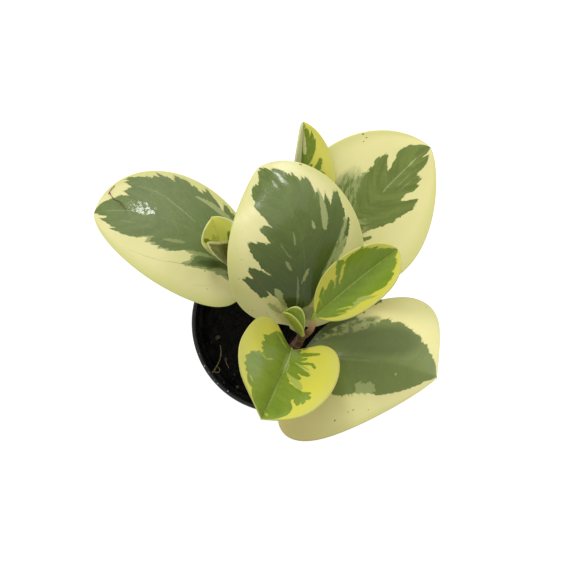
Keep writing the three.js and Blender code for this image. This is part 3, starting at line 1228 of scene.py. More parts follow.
@dataclass
class Pot:
    """The thin round nursery pot."""

    height: float = 80
    rim: float = 45
    lip_height: float = 2.4
    lip_width: float = 2
    collar: float = 43.8
    collar_foot: float = 64
    step_in: float = 1.6
    base: float = 31
    wall: float = 1.4
    foot_rise: float = 1.6
    boss: float = 9
    drain_radius: float = 3.5
    drain_ring: float = 18
    drains: int = 6
    sectors: int = 128

    def inner(self, height: float) -> float:
        """Works out the inside radius of the wall at a height.

        Args:
            height: Millimetres above the underside.

        Returns:
            The radius.
        """
        slope = (self.collar - self.step_in - self.base) / self.collar_foot
        outer = self.base + slope * height if height < self.collar_foot else self.collar
        return outer - self.wall

    def profile(self) -> list[tuple[float, float]]:
        """Lists the wall's section from the middle of the underside, over the lip, to the middle inside.

        Returns:
            Radius and height of each ring, in order.
        """
        top, lip = self.height, self.lip_height
        floor = self.foot_rise + self.wall
        outside = [
            (2.2, 0.35), (2.6, 0), (self.boss, 0), (self.boss + self.foot_rise, self.foot_rise),
            (self.base - 5.6, self.foot_rise), (self.base - 4, 0), (self.base - 1, 0), (self.base, 1),
            (self.collar - self.step_in, self.collar_foot - self.step_in),
            (self.collar, self.collar_foot), (self.collar + 0.3, top - lip),
        ]
        lip_ring = [
            (self.rim - 0.25, top - lip + 0.05), (self.rim, top - lip + 0.35), (self.rim, top - 0.7),
            (self.rim - 0.25, top - 0.25), (self.rim - 0.7, top), (self.rim - 1.35, top),
            (self.rim - 1.8, top - 0.25), (self.rim - self.lip_width, top - 0.7),
        ]
        inside = [
            (self.inner(self.collar_foot) + 0.25, top - 3.4),
            (self.inner(self.collar_foot), self.collar_foot),
            (self.inner(self.collar_foot - self.step_in), self.collar_foot - self.step_in),
            (self.inner(floor), floor), (self.boss, floor),
        ]
        return outside + lip_ring + inside

    def build(self, finish: PotPlastic) -> bpy.types.Object:
        """Turns the pot, punches its drain holes and softens its edges.

        Args:
            finish: The pot's plastic.

        Returns:
            The pot.
        """
        pot = turned("pot_shell", self.profile(), self.sectors)
        for i in range(self.drains):
            angle = 2 * math.pi * i / self.drains
            deselect()
            bpy.ops.mesh.primitive_cylinder_add(
                vertices=32, radius=self.drain_radius * MM, depth=12 * MM,
                location=(self.drain_ring * MM * math.cos(angle), self.drain_ring * MM * math.sin(angle), 0),
            )
            cut(pot, bpy.context.object)
        pick(pot)
        edges = pot.modifiers.new("edges", "BEVEL")
        edges.width = 0.22 * MM
        edges.segments = 2
        edges.limit_method = "ANGLE"
        edges.angle_limit = math.radians(38)
        bpy.ops.object.modifier_apply(modifier=edges.name)
        bpy.ops.object.shade_smooth_by_angle(angle=math.radians(40))
        settle(pot, finish.material(), Slot.POT, "pot")
        return pot


@dataclass
class Soil:
    """The lump of potting mix in the pot, uneven on top."""

    level: float = 64
    lump: float = 1.1
    floor: float = 3.3
    floor_radius: float = 29.88
    top_radius: float = 40.22
    clearance: float = 0.3
    sectors: int = 192
    rings: int = 58
    seed: int = 7

    def height(self, x: np.ndarray, y: np.ndarray) -> np.ndarray:
        """Works out the height of the lumpy surface, with its coarse crumbs.

        Args:
            x: Places along X.
            y: Places along Y.

        Returns:
            The height at each.
        """
        waves = (
            0.6 * np.sin(0.42 * x + 1.3) * np.cos(0.37 * y - 0.4)
            + 0.45 * np.sin(0.23 * x - 0.51 * y)
            + 0.35 * np.cos(0.71 * x + 0.33 * y + 2)
        )
        crumbs = (
            0.5 * np.sin(1.9 * x + 0.8 * y) * np.sin(1.6 * y - 0.7 * x + 1)
            + 0.35 * np.sin(3.3 * x - 1.2 * y + 2) * np.sin(2.9 * y + 0.9 * x)
            + 0.2 * np.sin(5.7 * x + 2.1 * y) * np.sin(6.1 * y - 1.7 * x)
        )
        return self.level + self.lump * waves + 0.9 * crumbs

    def body(self) -> bpy.types.Object:
        """Makes the lump of soil as one closed skin.

        Returns:
            The lump, before it is opened.
        """
        rng = np.random.default_rng(self.seed)
        angles = np.linspace(0, 2 * math.pi, self.sectors, endpoint=False)
        rings = []
        for i in range(self.rings + 1):
            radius = self.top_radius * (i / self.rings)
            x, y = radius * np.cos(angles), radius * np.sin(angles)
            z = self.height(x, y) + rng.normal(0, 0.16, self.sectors) * (i > 0)
            edge = ease((radius - self.top_radius + 3) / 3)
            z = lerp(z, self.level - 1.2, edge)
            rings.append(np.stack([x, y, z], -1))
        for share in (0.0, 0.02, 0.25, 0.5, 0.75, 0.98, 1.0):
            radius = lerp(self.top_radius, self.floor_radius, share)
            z = np.full_like(angles, lerp(self.level - 1.6, self.floor, share))
            rings.append(np.stack([radius * np.cos(angles), radius * np.sin(angles), z], -1))
        rings.append(np.stack([0 * angles, 0 * angles, 0 * angles + self.floor], -1))
        stack = np.array(rings)
        count = len(stack)
        soil = wrapped_grid("soil_bed", stack, np.linspace(0, 1, self.sectors), np.linspace(0, 1, count))
        return close_seam(soil, 80)

    def build(self, stems: list["Stem"], finish: PottingMix) -> bpy.types.Object:
        """Builds the bed and opens it where the stems stand in it.

        Args:
            stems: What stands in it.
            finish: The potting mix.

        Returns:
            The bed.
        """
        bed = self.body()
        for stem in stems:
            low, high = (Vector(p) for p in stem.route[:2])
            radius = max(stem.radii[:2]) + self.clearance
            along = (high - low).normalized()
            middle = (low + high) / 2
            deselect()
            bpy.ops.mesh.primitive_cylinder_add(
                vertices=24, radius=radius * MM, depth=((high - low).length + 2 * self.clearance) * MM,
                location=middle * MM, rotation=along.to_track_quat("Z", "Y").to_euler(),
            )
            cut(bed, bpy.context.object)
        pick(bed)
        bpy.ops.object.shade_smooth_by_angle(angle=math.radians(80))
        settle(bed, finish.material(), Slot.SOIL, "soil")
        return bed


def fibre_strand(name: str, points: tuple[Point, ...], thick: float, tip: float) -> bpy.types.Object:
    """Makes one thin tapered fibre along points.

    Args:
        name: Name of the piece.
        points: Its middle line.
        thick: Its first radius.
        tip: Its last radius.

    Returns:
        The fibre.
    """
    sides = 8
    places, reached = smooth_route(list(points), 8)
    share = reached / reached[-1]
    radii = lerp(thick, tip, share) * (1 + 0.14 * np.sin(9 * reached))
    rings = tube_rings(places, radii, sides, (0.3, 0.5, 0.8))
    along = np.linspace(0, 1, len(rings))
    return close_seam(wrapped_grid(name, rings, np.linspace(0, 1, sides), along))


@dataclass
class Litter:
    """Small loose things: crumbs, pale grains and dry fibres on the soil, and grit on the pot's rim."""

    soil: Soil
    count: int = 420
    clear_radius: float = 38.8
    seed: int = 11
    root: tuple[Point, ...] = (
        (-31.4, -11.2, 65.4), (-31.0, -14.4, 65.8), (-31.3, -17.4, 66.6), (-32.2, -20.2, 68.6),
        (-33.2, -22.6, 71.6), (-34.0, -24.2, 74.6), (-34.4, -24.8, 77.0),
    )
    curl: tuple[Point, ...] = (
        (-34.0, -24.4, 76.2), (-33.0, -25.0, 74.4), (-31.6, -24.6, 71.8), (-31.4, -23.2, 70.0),
        (-32.4, -22.0, 70.4),
    )
    stray: tuple[Point, ...] = (
        (-28.7, -18.6, 66.0), (-28.1, -20.4, 66.3), (-27.2, -22.2, 66.2), (-26.9, -23.0, 65.8),
    )
    grains: tuple[Lump, ...] = (
        (-32.8, -7.0, 65.6, 1.25), (-28.6, -18.2, 65.6, 0.7), (-22.6, -32.4, 65.2, 0.75),
        (-29.6, -30.2, 66.4, 0.6), (-36.0, -9.4, 65.2, 0.5), (-24.0, -26.0, 65.4, 0.45),
        (-15.0, -35.5, 65.0, 0.6), (20.0, -28.0, 65.2, 0.7), (28.0, 14.0, 65.2, 0.6), (-8.0, 26.0, 65.0, 0.7),
        (12.0, 33.0, 65.0, 0.5), (-20.0, 20.0, 65.0, 0.55), (33.0, -8.0, 65.0, 0.5),
    )
    rim_grit: tuple[Lump, ...] = (
        (-38.3, -21.8, 80.1, 0.34), (-31.8, -30.5, 80.1, 0.4), (-26.6, -34.2, 80.1, 0.28),
        (-33.4, -28.7, 80.05, 0.2), (-41.0, -15.6, 80.05, 0.2), (-36.2, -24.9, 80.05, 0.18),
    )

    def __post_init__(self) -> None:
        """Starts the random draws."""
        self.rng = np.random.default_rng(self.seed)

    def lumps(self, name: str, spots: list[Lump], faces: int) -> bpy.types.Object:
        """Makes one rough lump and sets copies of it down, each turned and stretched its own way.

        Args:
            name: Name of the joined piece.
            spots: Place and radius of each lump.
            faces: 1 for a lump of 20 faces and 2 for one of 80.

        Returns:
            The lumps as one piece.
        """
        deselect()
        bpy.ops.mesh.primitive_ico_sphere_add(subdivisions=faces, radius=1)
        model = bpy.context.object
        for vertex in model.data.vertices:
            x, y, z = vertex.co
            vertex.co *= 1 + 0.28 * math.sin(5 * x + 3) * math.cos(4 * y + 7 * z)
        made = []
        for x, y, z, radius in spots:
            mesh = model.data.copy()
            angle = self.rng.uniform(0, 6.28)
            axis = Vector(self.rng.normal(0, 1, 3)).normalized()
            turn = Matrix.Rotation(angle, 4, axis)
            stretch = Matrix.Diagonal((*(radius * MM * self.rng.uniform(0.7, 1.35, 3)), 1))
            mesh.transform(Matrix.Translation(Vector((x, y, z)) * MM) @ turn @ stretch)
            lump = bpy.data.objects.new(name, mesh)
            bpy.context.scene.collection.objects.link(lump)
            made.append(lump)
        bpy.data.objects.remove(model)
        whole = joined(name, made)
        pick(whole)
        bpy.ops.object.shade_smooth_by_angle(angle=math.radians(50))
        return whole

    def crumb_spots(self) -> list[Lump]:
        """Scatters crumbs over the soil, clear of the pot's wall.

        Returns:
            Place and radius of each crumb.
        """
        spots = []
        for _ in range(self.count):
            radius = self.clear_radius * math.sqrt(self.rng.uniform(0.02, 1))
            angle = self.rng.uniform(0, 2 * math.pi)
            size = 0.35 + 1.15 * self.rng.uniform(0, 1) ** 3
            x, y = radius * math.cos(angle), radius * math.sin(angle)
            z = float(self.soil.height(np.array(x), np.array(y))) + 0.25 * size
            spots.append((x, y, z, size))
        return spots

    def build(self) -> None:
        """Builds and dresses everything on the soil."""
        crumbs = self.lumps("soil_crumbs", self.crumb_spots(), 1)
        settle(crumbs, PottingMix().material(), Slot.SOIL)
        grains = self.lumps("pale_grains", list(self.grains), 2)
        settle(grains, PaleGrain().material(), Slot.SOIL)
        grit = self.lumps("rim_grit", list(self.rim_grit), 1)
        chalk = PaleGrain("rim_grit", shade(206, 202, 194), shade(140, 134, 124))
        settle(grit, chalk.material(), Slot.SOIL)
        strands = [
            fibre_strand("root", self.root, 0.26, 0.34),
            fibre_strand("curl", self.curl, 0.34, 0.14),
            fibre_strand("stray", self.stray, 0.22, 0.16),
        ]
        settle(joined("dry_root", strands), DryFibre().material(), Slot.SOIL)


# ---- stems ----


@dataclass
class Stem:
    """A fleshy stem with slightly swollen joints.

    route is its middle line and radii its radius at each of the route's points. joints says
    where leaves stand, counted in the route's points.
    """

    name: str
    route: tuple[Point, ...]
    radii: tuple[float, ...]
    joints: tuple[float, ...]
    sides: int = 28

    def radius_near(self, point: Point) -> float:
        """Finds the stem's radius at the place nearest to a point.

        Args:
            point: The point.

        Returns:
            The radius.
        """
        places, reached = smooth_route(list(self.route), 12)
        nearest = int(np.argmin(np.linalg.norm(places - np.array(point), axis=1)))
        return float(np.interp(reached[nearest], range(len(self.radii)), self.radii))

    def build(self, finish: StemSkin) -> bpy.types.Object:
        """Wraps the stem's skin along its route, with a ring where each leaf stands.

        Args:
            finish: The stem's skin.

        Returns:
            The stem.
        """
        places, reached = smooth_route(list(self.route), 22)
        radii = np.interp(reached, range(len(self.radii)), self.radii)
        steps = np.linalg.norm(np.diff(places, axis=0), axis=1)
        length = np.concatenate([[0], np.cumsum(steps)])
        scar = np.zeros_like(length)
        for joint in self.joints:
            at = float(np.interp(joint, reached, length))
            radii = radii * (1 + 0.1 * np.exp(-(((length - at) / 1.6) ** 2)))
            scar = np.maximum(scar, np.exp(-(((length - at + 1.2) / 0.45) ** 2)))
        radii = radii * (1 + 0.025 * np.sin(1.7 * length + 1))
        rings = tube_rings(places, radii, self.sides, (0.93, 0.35, 0.05))
        along = np.linspace(0, 1, len(rings))
        stem = wrapped_grid(f"{self.name}_skin", rings, np.linspace(0, 1, self.sides), along)
        ringed = np.concatenate([[0, 0], scar, [0, 0]])
        marks = np.repeat(np.repeat(ringed[:, None], self.sides, 1)[:, :, None], 3, 2)
        give_attribute(stem, "scar", marks)
        close_seam(stem)
        settle(stem, finish.material(), Slot.STEM, self.name)
        return stem


# ---- leaves ----


@dataclass(frozen=True)
class Half:
    """One half of a blade, from the midrib to the margin.

    width is its greatest, to_base and to_tip say how it narrows both ways, curl is the angle it
    bends through in degrees, lobe how far it reaches back past the stalk, and pillow the height
    of the swelling beside the midrib.
    """

    width: float
    to_base: float
    to_tip: float
    curl: float
    lobe: float = 0
    pillow: float = 0

    def reach(self, t: np.ndarray, least: np.ndarray) -> np.ndarray:
        """Works out the half width at each share of the length.

        Args:
            t: Shares of the length.
            least: The least half width at each.

        Returns:
            The half widths.
        """
        widest = self.to_base / (self.to_base + self.to_tip)
        full = self.width * (t / widest) ** self.to_base * ((1 - t) / (1 - widest)) ** self.to_tip
        return np.maximum(full, least)


@dataclass
class Leaf:
    """A leaf: its stalk and its thick blade in one closed skin.

    The blade starts at base and its midrib runs for length, turning by sweep and falling by
    droop on the way. roll tips it about the midrib and changes by twist. fold is the angle at
    which each half rises. skew slides the left half forward and the right half back.

    thick and margin are its thickness at the midrib and at the margin, and tip its least half
    width there. ripple is how far the side veins sink, sag and frill the height of the waves
    over the blade and along its margin, and groove the depth of the midrib. keel is the ridge
    below it, which ends at keel_end. The stalk's middle lies sink below the blade and flares at
    the stem, and neck is the share of the length over which its round turns into the blade.
    """

    name: str
    slot: Slot
    stalk: tuple[Point, ...]
    stalk_radius: float
    base: Point
    length: float
    heading: float
    sweep: float
    pitch: float
    droop: float
    roll: float
    twist: float
    fold: float
    left: Half
    right: Half
    skin: LeafSkin
    skew: float = 0
    thick: float = 1.3
    margin: float = 0.8
    stations: int = 110
    ripple: float = 0.03
    sag: float = 0.25
    frill: float = 0.0
    groove: float = 0.36
    tip: float = 0.5
    sink: float = 0.5
    keel: float = 0.6
    keel_end: float = 0.45
    top_columns: int = 61
    low_columns: int = 37
    edge_columns: int = 5
    flare: float = 0.25
    neck: float = 0.025
    stem_radius: float = 2.2

    def directions(self, t: np.ndarray) -> tuple[np.ndarray, np.ndarray, np.ndarray]:
        """Finds the midrib's direction, the blade's left side and its upper normal.

        Args:
            t: Shares of the length.

        Returns:
            The three directions, each of length one.
        """
        heading = np.radians(self.heading + self.sweep * t)
        pitch = np.radians(self.pitch - self.droop * t)
        roll = np.radians(self.roll + self.twist * t)[..., None]
        flat = np.cos(pitch)
        ahead = np.stack([flat * np.cos(heading), flat * np.sin(heading), np.sin(pitch)], -1)
        level = np.stack([-np.sin(heading), np.cos(heading), 0 * heading], -1)
        up = np.cross(ahead, level)
        return ahead, np.cos(roll) * level + np.sin(roll) * up, np.cos(roll) * up - np.sin(roll) * level

    def midrib(self, t: np.ndarray) -> np.ndarray:
        """Finds places on the midrib at shares of the length.

        Args:
            t: Shares of the length.

        Returns:
            The places.
        """
        fine = np.linspace(0, 1, 401)
        ahead, _, _ = self.directions((fine[1:] + fine[:-1]) / 2)
        run = np.vstack([[0, 0, 0], np.cumsum(ahead * np.diff(fine)[:, None] * self.length, 0)])
        return np.stack([np.interp(t, fine, run[:, k] + self.base[k]) for k in range(3)], -1)

    def surface(self, t: np.ndarray, u: np.ndarray) -> tuple[np.ndarray, np.ndarray, np.ndarray, np.ndarray]:
        """Works out the blade's middle surface.

        Args:
            t: Shares of the length.
            u: Shares of the half width, from -1 at the right margin to 1 at the left.

        Returns:
            The place, the upward normal, the outward direction and the distance from the midrib.
        """
        ahead, side, normal = self.directions(t)
        leftward = u >= 0
        least = np.where(t < 0.5, self.stalk_radius, self.tip)
        full, curl, lobe = (
            np.where(leftward, getattr(self.left, size), getattr(self.right, size))
            for size in ("width", "curl", "lobe")
        )
        width = np.where(leftward, self.left.reach(t, least), self.right.reach(t, least))
        bend = np.radians(np.where(curl == 0, 1e-3, curl)) / full
        across = width * np.abs(u)
        fold = math.radians(self.fold)
        angle = fold + bend * across
        out = (np.sin(angle) - math.sin(fold)) / bend
        rise = (math.cos(fold) - np.cos(angle)) / bend
        taper = width / full
        sign = np.where(leftward, 1.0, -1.0)
        slide = sign * self.skew * taper * np.abs(u) - lobe * (1 - t) ** 4 * taper * u * u
        place = (
            self.midrib(t)
            + (sign * out)[..., None] * side
            + rise[..., None] * normal
            + slide[..., None] * ahead
        )
        # at the midrib itself the two halves meet, and the normal turns over within a millimetre
        tilt = sign * np.sin(angle) * ease(across)
        upward = unit(np.sqrt(1 - tilt**2)[..., None] * normal - tilt[..., None] * side)
        outward = (sign * np.cos(angle))[..., None] * side + np.sin(angle)[..., None] * normal
        return place, upward, outward, across * sign

    def vein_place(self, t: np.ndarray, u: np.ndarray) -> np.ndarray:
        """Where on the midrib the side vein through a place starts."""
        skin = self.skin
        return t - skin.lean * np.abs(u) ** skin.bow * np.minimum(1, t / skin.fan)

    def relief(self, t: np.ndarray, u: np.ndarray) -> np.ndarray:
        """Works out the blade's gentle unevenness: sunken side veins and broad waves.

        Args:
            t: Shares of the length.
            u: Shares of the half width.

        Returns:
            How far each place is raised.
        """
        s = self.vein_place(t, u)
        vein = ((1 + np.cos(2 * math.pi * self.skin.veins * s)) / 2) ** 3
        inner = ease(np.abs(u) / 0.15) * ease((1 - np.abs(u)) / 0.35)
        seed = self.skin.seed
        wave = np.sin(7 * t + 3.1 * u + seed) * np.cos(4.3 * u - 5 * t + 2 * seed)
        wave = wave + 0.5 * np.sin(13 * t - 6 * u + 3 * seed)
        ends = ease(t / 0.2) * ease((1 - t) / 0.1)
        frill = self.frill * np.abs(u) ** 3 * np.sin(17 * t + 2 * seed + 1.5 * u)
        pillow = np.where(u >= 0, self.left.pillow, self.right.pillow)
        shoulder = pillow * np.exp(-(((np.abs(u) - 0.25) / 0.19) ** 2))
        return (self.sag * wave - self.ripple * vein * inner + frill + shoulder) * ends

    def ring_plan(self) -> tuple[np.ndarray, np.ndarray, np.ndarray]:
        """Plans one ring of the skin: over the top, round the left edge, back below, round the right.

        Returns:
            u of each place, its height (1 above, -1 below) and its angle round the stalk.
        """
        top = np.linspace(-1, 1, self.top_columns)
        low = np.linspace(1, -1, self.low_columns)
        low = np.sign(low) * np.abs(low) ** 1.35
        bend = np.radians(np.linspace(90, -90, self.edge_columns + 2)[1:-1])
        u = np.concatenate([top, np.ones(self.edge_columns), low, -np.ones(self.edge_columns)])
        over, below = np.ones(self.top_columns), -np.ones(self.low_columns)
        rise = np.concatenate([over, np.sin(bend), below, -np.sin(bend)])
        spread = 12
        angle = np.concatenate([
            np.linspace(180 - spread, spread, self.top_columns),
            np.linspace(spread, -spread, self.edge_columns + 2)[1:-1],
            np.linspace(-spread, spread - 180, self.low_columns),
            np.linspace(spread - 180, -spread - 180, self.edge_columns + 2)[1:-1],
        ])
        return u, rise, np.radians(angle)

    def blade_rings(self) -> tuple[np.ndarray, np.ndarray, np.ndarray, np.ndarray]:
        """Makes the skin's rings along the blade.

        Returns:
            The rings' points, each ring's share of the length, the distance of every point
            from the midrib, and how far every point belongs to the underside.
        """
        u_plan, rise, angle = self.ring_plan()
        share = 0.5 * (1 - np.cos(np.linspace(0, math.pi, self.stations)))
        t = np.repeat(share[:, None], len(u_plan), 1)
        u = np.repeat(u_plan[None], len(share), 0)
        least = np.where(t < 0.5, self.stalk_radius, self.tip)
        width = np.where(u >= 0, self.left.reach(t, least), self.right.reach(t, least))
        edge = np.minimum(self.margin / 2, width * 0.8)
        inner = 1 - edge / width
        flat = u * inner
        place, upward, outward, across = self.surface(t, flat)
        place = place + self.relief(t, flat)[..., None] * upward
        half = lerp(self.thick, self.margin, np.abs(flat) ** 3) / 2 * ease((1.02 - t) / 0.06)
        half = np.maximum(half, edge * 0.9)
        rib = 4 * self.skin.rib_bow * t * (1 - t)
        groove = lerp(self.groove, 0.08, t) * np.exp(-(((across - rib) / 0.9) ** 2))
        radius = lerp(self.stalk_radius, self.keel, np.minimum(1, t / self.keel_end))
        past = ease((t - self.keel_end) / (1 - self.keel_end))
        ridge = lerp(0.5 + 4 / 3 * radius - half, 0.1, past)
        keel = ridge * np.exp(-1.2 * (across / radius) ** 2)
        corner = np.zeros(len(u_plan), bool)
        corner[self.top_columns : self.top_columns + self.edge_columns] = True
        corner[-self.edge_columns :] = True
        lift = np.where(rise[None] > 0, half - groove, -half - keel)
        lift = np.where(corner[None], edge * rise[None], lift)
        bulge = np.where(corner[None], edge * np.sqrt(np.maximum(0, 1 - rise[None] ** 2)), 0)
        points = place + lift[..., None] * upward + bulge[..., None] * outward
        middle, normal, _, _ = self.surface(share, 0 * share)
        _, side, _ = self.directions(share)
        circle = round_rings(middle - self.sink * normal, self.stalk_radius, angle, side, normal)
        points = lerp(circle, points, ease(share / self.neck)[:, None, None])
        under = np.repeat(ease((0.3 - rise) / 0.6)[None], len(share), 0)
        return points, share, across, under

    def stalk_rings(self) -> np.ndarray:
        """Makes the skin's rings along the stalk, from the stem's skin to the blade.

        Returns:
            The rings' points.
        """
        _, _, angle = self.ring_plan()
        ahead, _, normal = self.directions(np.array(0.0))
        end = np.array(self.base) - self.sink * normal
        route = [*self.stalk, tuple(end), tuple(end + 2.5 * ahead)]
        places, reached = smooth_route(route, 14)
        places = places[reached <= len(self.stalk)]
        run = np.concatenate([[0], np.cumsum(np.linalg.norm(np.diff(places, axis=0), axis=1))])
        start = min(self.stem_radius * 0.85, run[-1] * 0.5)
        spread = np.linspace(start, run[-1], 16)[:-1]
        centres = np.stack([np.interp(spread, run, places[:, k]) for k in range(3)], -1)
        tangent = unit(np.gradient(np.vstack([centres, end]), axis=0))[:-1]
        top = unit(normal - np.sum(tangent * normal, -1, keepdims=True) * tangent)
        side = np.cross(top, tangent)
        swell = 1 + self.flare * np.exp(-(spread - start) / 1.3)
        return round_rings(centres, self.stalk_radius * swell, angle, side, top)

    def build(self) -> bpy.types.Object:
        """Wraps the whole leaf's skin and dresses it.

        Returns:
            The leaf's piece.
        """
        blade, share, across, under = self.blade_rings()
        stalk = self.stalk_rings()
        rings = closed_ends(np.concatenate([stalk, blade]))
        u_plan, _, _ = self.ring_plan()
        before = len(stalk) + 2
        along = np.concatenate([np.zeros(before), share, [1, 1]])
        down_stalk = np.concatenate([np.linspace(1, 0, before), np.zeros(len(share) + 2)])
        wide = np.concatenate([np.repeat(across[:1], before, 0), across, across[-1:], across[-1:]])
        low = np.concatenate([np.repeat(under[:1], before, 0), under, under[-1:], under[-1:]])
        leaf = wrapped_grid(f"{self.name}_skin", rings, (u_plan + 1) / 2, along)
        stalk_share = np.repeat(down_stalk[:, None], rings.shape[1], 1)
        give_attribute(leaf, "leaf_place", np.stack([wide, low, stalk_share], -1))
        close_seam(leaf, 75)
        settle(leaf, self.skin.material(), self.slot, self.name)
        return leaf


@dataclass
class Thread:
    """A forked maroon fibre that lies on the tip of the left leaf."""

    run: tuple[Point, ...] = (
        (-85.2, 63.7, 91.4), (-82.1, 59.6, 93.9), (-79.2, 58.2, 95.6), (-75.6, 53.6, 98.4),
    )
    fork: tuple[Point, ...] = ((-82.6, 67.0, 90.5), (-84.3, 64.8, 91.2), (-85.4, 62.5, 92.0))

    def build(self) -> None:
        """Builds both branches as one piece."""
        fibre = DryFibre("maroon_fibre", shade(132, 84, 66), shade(84, 44, 36))
        branches = [fibre_strand("thread", self.run, 0.2, 0.12), fibre_strand("fork", self.fork, 0.16, 0.14)]
        settle(joined("stray_thread", branches), fibre.material(), Slot.STEM)


# ---- what each leaf's skin shows ----


# dusk and dull paint shade over the foot of this blade, which rises steeply from its stalk under the other
# leaves
CENTRE_SKIN = LeafSkin(
    "leaf_centre", GROWN, fan=0.22, foot=0.26, seed=1, rib_bow=-3, rib_show=0.05, painted_shade_green=0.9, painted_shade_cream=0.5,
    rough=0.11, streaky=True, sparse=0.54,
    left_dark=(
        (-0.1, 0), (-0.05, 0), (-0.04, 0.7), (-0.02, 0.76), (0.08, 0.77), (0.145, 0.57), (0.18, 0.45),
        (0.2, 0.68), (0.25, 0.66), (0.3, 0.62), (0.35, 0.51), (0.38, 0.36), (0.4, 0.35), (0.42, 0.46),
        (0.5, 0.41), (0.525, 0.3), (0.56, 0.51), (0.6, 0.52), (0.605, 0.7), (0.69, 0.53), (0.77, 0.36),
        (0.81, 0.26), (0.87, 0.27), (1, 0),
    ),
    right_dark=(
        (-0.1, 0.15), (0.05, 0.2), (0.1, 0.26), (0.155, 0.3), (0.2, 0.36), (0.218, 0.5), (0.222, 0.86),
        (0.27, 0.9), (0.32, 0.85), (0.34, 0.77), (0.39, 0.71), (0.41, 0.6), (0.5, 0.67), (0.53, 0.65),
        (0.58, 0.54), (0.64, 0.55), (0.68, 0.46), (0.73, 0.46), (0.8, 0.35), (0.9, 0.2), (1, 0),
    ),
    right_pale=((0.1, 0.3), (0.148, 0.35), (0.152, 0.72), (0.2, 0.84), (0.225, 0.8), (0.26, 0)),
    strokes=(
        Stroke((0.716, -0.666), (0.553, -0.481), 0.65, 1.7, Ink.PALE, 0.9),
        Stroke((0.595, -0.329), (0.56, -0.316), 0.55, 0.75, Ink.PALE, 0.6),
        Stroke((0.412, 0.176), (0.364, 0.115), 0.8, 0.7, Ink.PALE, 0.35),
        Stroke((0.361, -0.133), (0.287, -0.041), 0.9, 0.45, Ink.PALE, 0.5),
        Stroke((0.683, 0.399), (0.62, 0.298), 0.55, 0.2, Ink.CREAM, 0.8),
        Stroke((0.378, 0.524), (0.338, 0.404), 0.5, 0.15, Ink.CREAM, 0.8),
        Stroke((0.249, 0.346), (0.184, 0.277), 1.6, 1.4, Ink.PALE, 0.8),
        Stroke((0.184, 0.277), (0.13, 0.2), 1.4, 1.0, Ink.PALE, 0.7),
        Stroke((0.15, 0.5), (0.1, 0.31), 1.6, 1.5, Ink.PALE, 0.9),
        Stroke((0.155, 0.48), (0.13, 0.4), 0.6, 0.4, Ink.GREEN, 0.7),
        Stroke((0.12, 0.4), (0.11, 0.33), 0.4, 0.5, Ink.GREEN, 0.7),
        Stroke((0.134, -0.262), (0.08, -0.487), 2.5, 2.5, Ink.PALE, 0.9),
        Stroke((0.571, -0.881), (0.502, -0.773), 0.5, 0.9, Ink.GREEN),
        Stroke((0.371, 0.681), (0.231, 0.487), 0.25, 0.35, Ink.SCRATCH, 0.55),
        Stroke((0.072, 0.428), (0.124, 0.231), 0.3, 0.2, Ink.SCRATCH, 0.3),
        Stroke((0.156, 0.004), (0.327, 0.026), 0.65, 0.35, Ink.VEIN, 0.3),
        Stroke((0.518, 0.227), (0.425, 0.102), 0.2, 0.3, Ink.VEIN, 0.25),
        Stroke((0.496, 0.017), (0.566, 0), 0.45, 0.3, Ink.VEIN, 0.35),
    ),
    zones=(Zone(0.185, -0.6, 0.05, 0.32, 0.9, Mark.MOTTLED),),
    flecks=(
        Fleck(0.876, -0.95, 0.6), Fleck(0.342, 0.874, 0.35), Fleck(0.112, 0.853, 0.4),
        Fleck(0.469, 0.809, 0.35), Fleck(0.09, 0.6, 0.3), Fleck(0.53, -0.72, 0.3),
    ),
)
